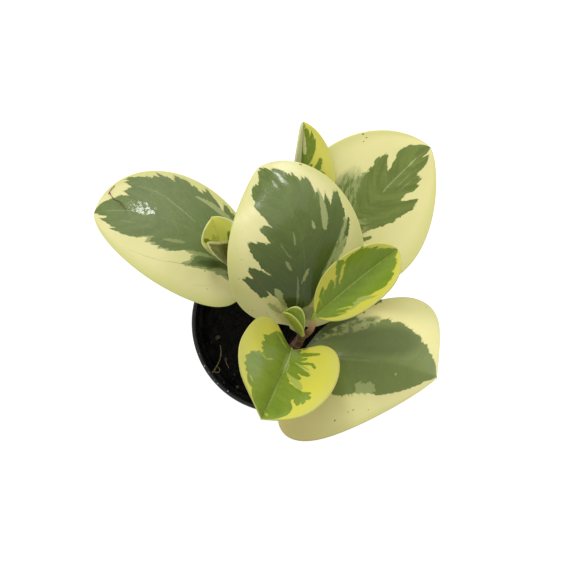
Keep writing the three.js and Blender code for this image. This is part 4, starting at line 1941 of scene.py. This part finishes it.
LEFT_SKIN = LeafSkin(
    "leaf_left", GROWN, fan=0.3, seed=2, rib_show=0.08, rib_bow=-4, rough=0.48,
    left_dark=(
        (0, 0.1), (0.1, 0.3), (0.13, 0.2), (0.16, 0.35), (0.19, 0.42), (0.245, 0.28), (0.28, 0.14),
        (0.3, 0.18), (0.33, 0.3), (0.41, 0.42), (0.44, 0.36), (0.53, 0.32), (0.56, 0.42), (0.64, 0.54),
        (0.67, 0.47), (0.73, 0.38), (0.76, 0.41), (0.83, 0.31), (0.89, 0.12), (1, 0.02),
    ),
    left_pale=(
        (0, 0.2), (0.1, 0.35), (0.18, 0.46), (0.21, 0.46), (0.28, 0.2), (0.38, 0.42), (0.43, 0.42),
        (0.5, 0.38), (0.6, 0.5), (0.63, 0.55), (0.66, 0),
    ),
    right_dark=(
        (-0.1, 0.9), (0.05, 0.93), (0.1, 0.84), (0.2, 0.92), (0.31, 0.92), (0.33, 0.83), (0.43, 0.93),
        (0.49, 0.84), (0.54, 0.69), (0.6, 0.61), (0.64, 0.48), (0.72, 0.44), (0.76, 0.5), (0.8, 0.48),
        (0.9, 0.3), (1, 0.05),
    ),
    strokes=(
        Stroke((0.503, -0.742), (0.302, -0.803), 0.5, 1.9, Ink.PALE, 0.9),
        Stroke((0.556, 0.24), (0.439, 0.132), 0.7, 1, Ink.PALE, 0.6),
        Stroke((0.636, -0.512), (0.441, -0.308), 0.25, 0.3, Ink.VEIN, 0.35),
        Stroke((0.798, -0.676), (0.644, -0.534), 0.2, 0.25, Ink.VEIN, 0.25),
        Stroke((0.987, -0.077), (0.666, -0.152), 0.25, 0.25, Ink.VEIN, 0.4),
        Stroke((0.831, 0.188), (0.743, 0.12), 0.3, 0.3, Ink.VEIN, 0.3),
        Stroke((0.396, 0.233), (0.27, 0.122), 0.7, 1.0, Ink.PALE, 0.8),
        Stroke((0.27, 0.122), (0.16, -0.04), 1.0, 1.4, Ink.PALE, 0.8),
        Stroke((0.207, 0.285), (0.13, 0.2), 1.2, 1.6, Ink.PALE, 0.8),
        Stroke((0.73, 0.764), (0.5, 0.61), 0.15, 0.2, Ink.SCRATCH, 0.25),
        Stroke((0.5, 0.61), (0.3, 0.373), 0.2, 0.15, Ink.SCRATCH, 0.3),
        Stroke((0.187, 0.605), (0.29, 0.75), 0.15, 0.15, Ink.SCRATCH, 0.2),
    ),
    zones=(
        Zone(0.185, 0.24, 0.035, 0.14, 0.9, Mark.SHADED), Zone(0.685, -0.235, 0.1, 0.14, 1.0, Mark.POLISHED),
    ),
    flecks=(
        Fleck(0.255, 0.406, 0.35), Fleck(0.555, 0.397, 0.35), Fleck(0.536, 0.267, 0.3), Fleck(0.2, 0.7, 0.25),
    ),
)
BACK_RIGHT_SKIN = LeafSkin(
    "leaf_back_right", GROWN_PAINTED_LIGHTER, fan=0.4, seed=3, mottle=0.6, rib_show=0.03, streaky=True, sparse=0.46,
    left_dark=(
        (0, 0.2), (0.1, 0.35), (0.2, 0.3), (0.3, 0.3), (0.34, 0.42), (0.38, 0.4), (0.43, 0.3), (0.47, 0.3),
        (0.518, 0.34), (0.55, 0.36), (0.562, 0.44), (0.6, 0.43), (0.63, 0.41), (0.645, 0.3), (0.675, 0.18),
        (0.7, 0.17), (0.708, 0.34), (0.725, 0.43), (0.76, 0.46), (0.8, 0.5), (1, 0.5),
    ),
    left_pale=((0.2, 0.3), (0.28, 0.42), (0.35, 0.4), (0.44, 0.42), (0.47, 0.38), (0.54, 0.3), (0.58, 0)),
    right_dark=(
        (0, 0.1), (0.2, 0.1), (0.31, 0.19), (0.33, 0.23), (0.38, 0.38), (0.42, 0.5), (0.45, 0.57),
        (0.48, 0.59), (0.505, 0.56), (0.525, 0.48), (0.54, 0.34), (0.575, 0.3), (0.59, 0.36), (0.61, 0.42),
        (0.635, 0.46), (0.66, 0.45), (0.69, 0.36), (0.735, 0.25), (0.755, 0.24), (0.765, 0.34), (0.79, 0.36),
        (0.84, 0.3), (0.9, 0.18), (1, 0),
    ),
    strokes=(
        Stroke((0.631, -0.023), (0.966, 0.022), 0.4, 0.2, Ink.VEIN, 0.6),
        Stroke((0.707, -0.133), (0.812, -0.152), 0.3, 0.3, Ink.VEIN, 0.35),
        Stroke((0.838, -0.004), (0.905, 0.041), 0.7, 0.3, Ink.PALE, 0.5),
        Stroke((0.716, -0.21), (0.79, -0.266), 0.3, 0.5, Ink.VEIN, 0.3),
        Stroke((0.35, -0.273), (0.385, -0.327), 1, 0.75, Ink.GREEN),
    ),
    zones=(Zone(0.3, 0.3, 0.2, 0.32, 1.0, Mark.MOTTLED), Zone(0.24, 0.0, 0.24, 0.3, 0.6, Mark.MOTTLED)),
    flecks=(Fleck(0.767, 0.97, 0.5), Fleck(0.768, 0.885, 0.35), Fleck(0.743, 0.83, 0.25)),
)
LOW_RIGHT_SKIN = LeafSkin(
    "leaf_low_right", LOWEST, lean=0.35, fan=0.4, seed=4, rib_show=0.0, vein_show=0.0, mottle=0.12, painted_shade_green=0.2,
    painted_shade_cream=0.7, blush=0.35, ragged=0.04, sparse=0.46,
    left_dark=(
        (-0.1, 1.1), (0.03, 1.1), (0.07, 0.9), (0.1, 0.72), (0.15, 0.6), (0.24, 0.61), (0.31, 0.62),
        (0.37, 0.61), (0.48, 0.56), (0.59, 0.49), (0.66, 0.46), (0.75, 0.38), (0.82, 0.31), (0.89, 0.23),
        (1, 0.02),
    ),
    right_dark=(
        (0, 0.3), (0.25, 0.43), (0.37, 0.41), (0.47, 0.45), (0.55, 0.51), (0.66, 0.5), (0.8, 0.41),
        (0.92, 0.2), (1, 0),
    ),
    strokes=(Stroke((0.683, -0.135), (0.69, -0.15), 0.6, 0.5, Ink.PALE, 0.7),),
    # the SHADED zone at 0.0 is painted shade at the foot, under the small right leaf; the one at 0.44 deepens
    # the middle of the green
    zones=(
        Zone(0.43, -0.37, 0.07, 0.1), Zone(0.13, 0.56, 0.14, 0.17, 0.9, Mark.MOTTLED),
        Zone(0.0, 0.8, 0.12, 0.5, 1.0, Mark.SHADED), Zone(0.44, 0.3, 0.34, 0.3, 0.7, Mark.SHADED),
    ),
    flecks=(
        Fleck(0.536, -0.671, 0.4), Fleck(0.447, -0.771, 0.5), Fleck(0.51, -0.688, 0.25),
        Fleck(0.644, -0.747, 0.25), Fleck(0.798, 0.947, 0.25),
    ),
)
FRONT_SKIN = LeafSkin(
    "leaf_front", HEART, lean=0.42, fan=0.25, seed=5, veins=9, rib_show=0.9, blush=0.25, half_width=30,
    length=51,
    left_dark=(
        (-0.1, 0.26), (0.1, 0.27), (0.22, 0.3), (0.32, 0.28), (0.335, 0.06), (0.4, 0.14), (0.44, 0.2),
        (0.49, 0.38), (0.56, 0.42), (0.6, 0.42), (0.66, 0.52), (0.7, 0.66), (1, 0.66),
    ),
    right_dark=(
        (-0.1, 0.68), (0.0, 0.68), (0.1, 0.68), (0.17, 0.64), (0.25, 0.58), (0.262, 0.52), (0.285, 0.52),
        (0.3, 0.64), (0.36, 0.74), (0.44, 0.84), (0.53, 0.78), (0.6, 0.73), (0.73, 0.63), (0.85, 0.62),
        (1, 0.62),
    ),
    strokes=(
        Stroke((0.507, -0.72), (0.541, -0.615), 0.9, 0.45, Ink.CREAM),
        Stroke((0.541, -0.615), (0.505, -0.463), 0.4, 0.3, Ink.PALE),
        Stroke((0.505, -0.463), (0.403, -0.327), 0.3, 0.2, Ink.PALE),
        Stroke((0.692, -0.86), (0.68, -0.8), 0.6, 0.4, Ink.CREAM, 0.7),
        Stroke((0.116, 0.24), (0.141, 0.662), 1.5, 1.1, Ink.GREEN),
        Stroke((0.183, 0.24), (0.179, 0.406), 1.0, 0.7, Ink.GREEN),
        Stroke((0.219, 0.23), (0.266, 0.524), 1.1, 0.85, Ink.GREEN),
        Stroke((0.266, 0.524), (0.318, 0.577), 0.85, 0.6, Ink.GREEN),
        Stroke((0.28, 0.178), (0.406, 0.471), 2.0, 1.3, Ink.GREEN),
        Stroke((0.337, 0.146), (0.448, 0.334), 1.8, 1.3, Ink.GREEN),
        Stroke((0.646, 0.396), (0.72, 0.59), 2.3, 2.3, Ink.GREEN),
        Stroke((0.7, 0.54), (0.72, 0.7), 1.9, 1.1, Ink.GREEN),
        Stroke((0.72, 0.54), (0.77, 0.66), 1.9, 1.1, Ink.GREEN),
        Stroke((0.73, 0.5), (0.8, 0.59), 1.6, 0.9, Ink.GREEN),
        Stroke((0.67, 0.54), (0.665, 0.66), 1.5, 0.8, Ink.GREEN),
        Stroke((0.041, 0.296), (0.032, 0.562), 0.35, 0.2, Ink.GREEN),
        Stroke((0.365, 0.087), (0.593, 0.447), 0.6, 2.1, Ink.PALE, 0.9),
        Stroke((0.214, 0.175), (0.331, 0.464), 0.25, 0.8, Ink.PALE),
        Stroke((0.866, -0.66), (0.869, -0.554), 0.8, 0.7, Ink.PALE, 0.7),
        Stroke((0.923, -0.067), (0.959, 0.166), 0.4, 1, Ink.PALE, 0.8),
        Stroke((0.101, -0.625), (0.085, -0.228), 0.45, 0.4, Ink.PALE, 0.9),
        Stroke((0.116, -0.083), (0.372, -0.086), 0.9, 0.45, Ink.VEIN, 0.4),
        Stroke((0.0, 0.0), (0.45, -0.02), 1.5, 0.9, Ink.VEIN, 0.9),
        Stroke((0.45, -0.02), (0.95, -0.01), 0.9, 0.4, Ink.VEIN, 0.8),
        Stroke((0.187, 0.057), (0.35, 0.071), 0.25, 0.3, Ink.VEIN, 0.6),
    ),
)
SMALL_RIGHT_SKIN = LeafSkin(
    "leaf_small_right", BLUSHED, bow=1.3, fan=0.25, seed=6, veins=9, rib_show=0.3, rim=0.8, half_width=17,
    length=51,
    left_dark=(
        (-0.1, 0.78), (-0.05, 0.76), (0.015, 0.58), (0.1, 0.64), (0.2, 0.55), (0.235, 0.6), (0.245, 0.85),
        (0.3, 0.88), (0.35, 0.97), (0.43, 0.88), (0.55, 0.78), (0.65, 0.6), (0.8, 0.47), (0.9, 0.3),
        (1, 0.05),
    ),
    right_dark=(
        (-0.1, 0.75), (0, 0.72), (0.1, 0.6), (0.12, 0.5), (0.14, 0.6), (0.22, 0.5), (0.27, 0.45), (0.3, 0.48),
        (0.33, 0.6), (0.4, 0.74), (0.5, 0.75), (0.65, 0.66), (0.8, 0.4), (0.9, 0.28), (1, 0.05),
    ),
    right_pale=((-0.1, 0.78), (0.15, 0.68), (0.25, 0.68), (0.27, 0.8), (0.3, 0.8), (0.36, 0)),
    strokes=(
        Stroke((0.565, 0.909), (0.46, 0.64), 1.6, 1.2, Ink.GREEN),
        Stroke((0.1, 0.0), (0.9, 0.0), 0.5, 0.35, Ink.VEIN, 0.7),
        Stroke((0.57, 0.742), (0.387, 0.325), 0.8, 0.5, Ink.CREAM, 0.9),
        Stroke((0.424, 0.64), (0.326, 0.358), 0.6, 0.35, Ink.CREAM, 0.7),
        Stroke((0.219, -0.463), (0.369, -0.637), 0.3, 0.6, Ink.CREAM, 0.8),
        Stroke((0.193, -0.627), (0.331, -0.829), 0.3, 0.5, Ink.CREAM, 0.7),
        Stroke((0.158, 0.603), (0.111, 0.207), 0.35, 0.25, Ink.PALE, 0.5),
    ),
)
TOP_FOLDED_SKIN = LeafSkin(
    "leaf_top_folded", UNFURLED, lean=0.4, fan=0.4, seed=7, veins=9, ragged=0.1, half_width=14, length=53,
    left_dark=((-0.1, 0), (1, 0)),
    left_pale=((-0.1, 1.2), (1, 1.2)),
    right_dark=(
        (0.3, 0.3), (0.45, 0.33), (0.52, 0.34), (0.57, 0.45), (0.6, 0.54), (0.65, 0.58), (0.7, 0.56),
        (0.74, 0.48), (0.83, 0.3), (0.9, 0.15), (1, 0.05),
    ),
    strokes=(
        Stroke((0.927, -0.06), (0.72, -0.12), 0.6, 1.2, Ink.PALE, 0.8),
        Stroke((0.665, -0.626), (0.591, -0.513), 0.8, 1.3, Ink.GREEN),
        Stroke((0.582, -0.541), (0.538, -0.71), 0.6, 0.3, Ink.GREEN, 0.8),
        Stroke((0.985, -0.3), (0.954, -0.088), 0.5, 0.5, Ink.GREEN, 0.8),
    ),
)
# the buds' pale rims, from rim and edge_tint_and_painted_light, are partly a painted highlight along their
# lit margins
BUD_CENTRE_SKIN = LeafSkin(
    "bud_centre", ROLLED, seed=8, veins=6, rim=0.9, half_width=7, length=15, ragged=0.02,
    left_dark=((-0.1, 0.9), (1, 0.9)),
    right_dark=((-0.1, 0.93), (1, 0.9)),
)
BUD_OUTER_SKIN = LeafSkin(
    "bud_left_outer", OPENING, seed=9, veins=6, rim=0.76, half_width=12, length=23.5, rough=0.35,
    left_dark=((-0.1, 0), (1, 0)),
    right_dark=((-0.1, 0), (1, 0)),
    strokes=(
        Stroke((0.62, 0.8), (0.545, 0.48), 1.0, 0.9, Ink.GREEN),
        Stroke((0.6, -0.56), (0.46, -0.52), 1.0, 1.0, Ink.GREEN),
        Stroke((0.63, 0.25), (0.47, 0.15), 1.6, 2.0, Ink.PALE, 0.6),
        Stroke((0.625, 0.132), (0.466, 0.051), 0.3, 0.3, Ink.CREAM, 0.8),
    ),
)
BUD_INNER_SKIN = LeafSkin(
    "bud_left_inner", SHEATH, seed=10, veins=6, rim=0.88, lip=0.93, half_width=7, length=14, mottle=1.0,
    rough=0.4,
    left_dark=((-0.1, 0.8), (1, 0.8)),
    right_dark=((-0.1, 0.8), (1, 0.8)),
    # painted shade: the sheath lies in the shade of the centre leaf
    zones=(Zone(0.4, -0.15, 0.8, 0.45, 1.0, Mark.SHADED),),
)


# ---- the plant ----


class Plant:
    """The three stems and ten leaves, and the stray thread on one of them."""

    def __init__(self) -> None:
        """Lists the stems and the leaves."""
        self.stems = [
            Stem(
                name="stem_front",
                route=(
                    (2, -18, 55), (3, -17, 74), (4.5, -15.2, 87),
                    (6, -13, 97), (8.2, -10.2, 104), (10.1, -6.9, 110),
                ),
                radii=(2.4, 2.5, 2.5, 2.6, 2.3, 1.9),
                joints=(1.75, 2.3, 3.9, 4.6),
            ),
            Stem(
                name="stem_left",
                route=(
                    (-4, 7, 55), (-4.5, 8.5, 74), (-6.5, 11, 86),
                    (-12, 16, 96), (-18, 22, 99.5), (-22, 25.2, 100),
                ),
                radii=(2.3, 2.3, 2.2, 1.8, 1.6, 1.5),
                joints=(1.85, 3.6, 4.4),
            ),
            Stem(
                name="stem_back",
                route=((9, 12, 55), (10, 14, 74), (10.5, 18, 86), (9.5, 24, 95.5), (8.4, 33, 100.2)),
                radii=(2.3, 2.3, 2.1, 1.8, 1.5),
                joints=(1.35, 2.6),
            ),
        ]
        self.leaves = [
            self.centre(), self.left(), self.back_right(), self.low_right(), self.front(),
            self.small_right(), self.top_folded(), *self.buds(),
        ]

    def centre(self) -> Leaf:
        """The large upright leaf in the middle."""
        return Leaf(
            name="leaf_centre", slot=Slot.GROWN, skin=CENTRE_SKIN,
            stalk=((8.8, -9.2, 105), (8.9, -6.2, 106)), stalk_radius=1.5, base=(5, -3.3, 105),
            length=86, heading=72, sweep=58, pitch=47, droop=77, roll=15, twist=-16, fold=-4,
            left=Half(width=33, to_base=0.43, to_tip=0.63, curl=6, lobe=5),
            right=Half(width=32, to_base=0.52, to_tip=0.63, curl=2, lobe=5, pillow=0.5),
        )

    def left(self) -> Leaf:
        """The large leaf to the left."""
        return Leaf(
            name="leaf_left", slot=Slot.GROWN, skin=LEFT_SKIN,
            stalk=((-6, 10.5, 84), (-10.5, 14.8, 89)), stalk_radius=1.6, base=(-15.7, 18.5, 93),
            length=86.5, heading=134, sweep=44, pitch=17, droop=32, roll=15, twist=9, fold=-3,
            left=Half(width=28.5, to_base=0.49, to_tip=0.66, curl=-1, lobe=13),
            right=Half(width=29.5, to_base=0.71, to_tip=0.47, curl=10, lobe=13, pillow=0.3),
            sag=0.1, groove=0.12,
        )

    def back_right(self) -> Leaf:
        """The large leaf at the upper right."""
        return Leaf(
            name="leaf_back_right", slot=Slot.GROWN, skin=BACK_RIGHT_SKIN,
            stalk=((10.3, 16, 79), (12.3, 19, 85.5)), stalk_radius=1.6, base=(15, 22, 90),
            length=85.5, heading=56, sweep=-18, pitch=18, droop=18, roll=1, twist=3, fold=-2,
            left=Half(width=34.5, to_base=0.59, to_tip=0.63, curl=8),
            right=Half(width=34.5, to_base=0.51, to_tip=0.71, curl=7),
        )

    def low_right(self) -> Leaf:
        """The large leaf at the lower right."""
        return Leaf(
            name="leaf_low_right", slot=Slot.GROWN, skin=LOW_RIGHT_SKIN,
            stalk=((4.4, -15.4, 85), (6.6, -18.4, 91)), stalk_radius=1.6, base=(8.3, -17.8, 96),
            length=72.5, heading=2, sweep=-21, pitch=28, droop=66, roll=-19, twist=4, fold=-18,
            left=Half(width=44, to_base=0.42, to_tip=0.2, curl=-2),
            right=Half(width=41.5, to_base=0.36, to_tip=0.81, curl=-14, lobe=14),
            skew=13, groove=0.1,
        )

    def front(self) -> Leaf:
        """The heart-shaped young leaf in front."""
        return Leaf(
            name="leaf_front", slot=Slot.YOUNG, skin=FRONT_SKIN,
            stalk=((5.4, -14, 92), (4.4, -16.6, 98)), stalk_radius=1.5, base=(4.6, -14.5, 104),
            length=51, heading=-108, sweep=-10, pitch=49, droop=2, roll=-11, twist=2, fold=39,
            left=Half(width=28, to_base=0.29, to_tip=0.32, curl=6, lobe=5),
            right=Half(width=32.5, to_base=0.28, to_tip=0.17, curl=-7, lobe=5),
            stations=96, groove=0.04,
        )

    def small_right(self) -> Leaf:
        """The small young leaf right of the middle."""
        return Leaf(
            name="leaf_small_right", slot=Slot.YOUNG, skin=SMALL_RIGHT_SKIN,
            stalk=((10.2, -8, 106.5), (13.6, -5.3, 110.6)), stalk_radius=1.5, base=(16, 1, 115),
            length=51.5, heading=42, sweep=-7, pitch=25, droop=-2, roll=-5, twist=12, fold=20,
            left=Half(width=15.5, to_base=0.77, to_tip=0.56, curl=30),
            right=Half(width=18, to_base=0.73, to_tip=0.53, curl=44),
            stations=90, sag=0.12, groove=0.08,
        )

    def top_folded(self) -> Leaf:
        """The narrow, half folded young leaf at the top."""
        return Leaf(
            name="leaf_top_folded", slot=Slot.YOUNG, skin=TOP_FOLDED_SKIN,
            stalk=((8.4, 32, 99.8), (8.3, 37, 101.2)), stalk_radius=1.3, base=(8.5, 42, 102),
            length=53, heading=90, sweep=-4, pitch=10, droop=2, roll=12, twist=30, fold=30,
            left=Half(width=10.5, to_base=0.55, to_tip=0.59, curl=28),
            right=Half(width=17, to_base=0.53, to_tip=0.62, curl=8),
            stations=80, sag=0.1,
        )

    def buds(self) -> list[Leaf]:
        """The three leaves that are still opening."""
        small = {
            "stations": 56, "ripple": 0.0, "sag": 0.05, "groove": 0.08, "thick": 1.1, "margin": 0.7,
            "top_columns": 33, "low_columns": 25,
        }
        return [
            Leaf(
                name="bud_centre", slot=Slot.YOUNG, skin=BUD_CENTRE_SKIN,
                stalk=((10, -7, 109.5), (9.9, -7.1, 111)), stalk_radius=1.1, base=(10, -7.2, 112.6),
                length=14.5, heading=134, sweep=0, pitch=26, droop=4, roll=46, twist=0, fold=58,
                left=Half(width=4.6, to_base=0.5, to_tip=0.3, curl=40),
                right=Half(width=7.6, to_base=0.85, to_tip=0.37, curl=0),
                **small,
            ),
            Leaf(
                name="bud_left_outer", slot=Slot.YOUNG, skin=BUD_OUTER_SKIN,
                stalk=((-21, 24.4, 99.8), (-23.6, 26.2, 99.9)), stalk_radius=1.2, base=(-26, 28, 100),
                length=23.5, heading=113.5, sweep=-8, pitch=24, droop=12, roll=0, twist=0, fold=30,
                left=Half(width=12.3, to_base=2, to_tip=1.5, curl=42),
                right=Half(width=13, to_base=1, to_tip=0.62, curl=14),
                frill=0.4, **small,
            ),
            Leaf(
                name="bud_left_inner", slot=Slot.YOUNG, skin=BUD_INNER_SKIN,
                stalk=((-19.4, 23.2, 99.6), (-20.9, 24.2, 103.4)), stalk_radius=1.0, base=(-25.4, 26, 106.8),
                length=14, heading=114, sweep=-6, pitch=60, droop=40, roll=0, twist=0, fold=-16,
                left=Half(width=6.4, to_base=0.8, to_tip=0.14, curl=-6),
                right=Half(width=7, to_base=0.7, to_tip=0.14, curl=-24),
                skew=2, **small,
            ),
        ]

    def stem_of(self, leaf: Leaf) -> Stem:
        """Finds the stem that passes nearest to the foot of a leaf's stalk.

        Args:
            leaf: The leaf.

        Returns:
            Its stem.
        """
        foot = np.array(leaf.stalk[0])
        away = []
        for stem in self.stems:
            places, _ = smooth_route(list(stem.route), 12)
            away.append(float(np.linalg.norm(places - foot, axis=1).min()))
        return self.stems[int(np.argmin(away))]

    def build(self) -> None:
        """Builds the stems, then the leaves."""
        for stem in self.stems:
            stem.build(StemSkin())
        for leaf in self.leaves:
            leaf.stem_radius = self.stem_of(leaf).radius_near(leaf.stalk[0])
            leaf.build()
        Thread().build()


# ---- the studio ----


@dataclass
class Studio:
    """A pale floor, soft light from above and a window-like light behind, and the camera."""

    target: Point = (1.65, 18.6, 80)
    distance: float = 550
    elevation: float = 85
    focal_pixels: float = 1100
    picture_pixels: int = 570
    horizon: float = 1.05
    zenith: float = 0.55
    lit_point: Point = (0, 20, 100)
    sensor: float = 36

    def floor(self) -> None:
        """Lays the floor."""
        deselect()
        bpy.ops.mesh.primitive_plane_add(size=4, location=(0, 0, 0))
        floor = bpy.context.object
        floor.name = floor.data.name = "floor"
        floor.data.materials.append(PaleFloor().material())

    def area(self, name: str, place: Vector, size: tuple[float, float], power: float) -> None:
        """Hangs one rectangular light that faces the plant.

        Args:
            name: Name of the light.
            place: Where it hangs, in metres.
            size: Its sides in metres.
            power: Its power in watts.
        """
        light = bpy.data.lights.new(name, "AREA")
        light.shape = "RECTANGLE"
        light.size, light.size_y = size
        light.energy = power
        lamp = bpy.data.objects.new(name, light)
        lamp.location = place
        aim = Vector(self.lit_point) * MM - place
        lamp.rotation_euler = aim.to_track_quat("-Z", "Y").to_euler()
        bpy.context.scene.collection.objects.link(lamp)

    def lights(self) -> None:
        """Sets the dome and the lights."""
        world = bpy.data.worlds.new("studio")
        world.use_nodes = True
        tree = world.node_tree
        background = next(n for n in tree.nodes if n.type == "BACKGROUND")
        background.inputs["Color"].default_value = (1, 1, 1, 1)
        toward = tree.nodes.new("ShaderNodeTexCoord").outputs["Generated"]
        split = tree.nodes.new("ShaderNodeSeparateXYZ")
        fade = tree.nodes.new("ShaderNodeMapRange")
        fade.inputs["From Min"].default_value = 0.0
        fade.inputs["From Max"].default_value = 1.0
        fade.inputs["To Min"].default_value = self.horizon
        fade.inputs["To Max"].default_value = self.zenith
        tree.links.new(toward, split.inputs[0])
        tree.links.new(split.outputs[2], fade.inputs["Value"])
        tree.links.new(fade.outputs[0], background.inputs["Strength"])
        bpy.context.scene.world = world
        self.area("window", self.toward(-12, 39) * 1.6, size=(0.28, 0.46), power=8.0)
        self.area("soft_side", self.toward(-8, 60) * 1.3, size=(1.0, 0.8), power=2.6)

    def toward(self, azimuth: float, height: float) -> Vector:
        """A direction, its azimuth taken from +Y towards +X and its height from the floor."""
        a, h = math.radians(azimuth), math.radians(height)
        return Vector((math.sin(a) * math.cos(h), math.cos(a) * math.cos(h), math.sin(h)))

    def camera(self) -> None:
        """Stands the camera above the plant and points it straight down but for five degrees."""
        lens = bpy.data.cameras.new("camera")
        lens.sensor_fit = "HORIZONTAL"
        lens.sensor_width = self.sensor
        lens.lens = self.sensor * self.focal_pixels / self.picture_pixels
        lens.clip_start = 0.01
        lens.clip_end = 20
        camera = bpy.data.objects.new("camera", lens)
        tilt = math.radians(self.elevation)
        back = Vector((0, -math.cos(tilt), math.sin(tilt)))
        camera.location = (Vector(self.target) + self.distance * back) * MM
        camera.rotation_euler = (math.radians(90 - self.elevation), 0, 0)
        bpy.context.scene.collection.objects.link(camera)
        bpy.context.scene.camera = camera

    def build(self) -> None:
        """Builds the studio."""
        self.floor()
        self.lights()
        self.camera()
        bpy.context.scene.view_settings.view_transform = "Standard"
        bpy.context.scene.view_settings.look = "None"


def main() -> None:
    """Builds the pot, the soil, the plant and the studio, in that order."""
    logging.basicConfig(level=logging.INFO, format="%(name)s %(message)s")
    plant = Plant()
    soil = Soil()
    Pot().build(PotPlastic())
    soil.build(plant.stems, PottingMix())
    Litter(soil).build()
    plant.build()
    Studio().build()


if __name__ == "__main__":
    main()
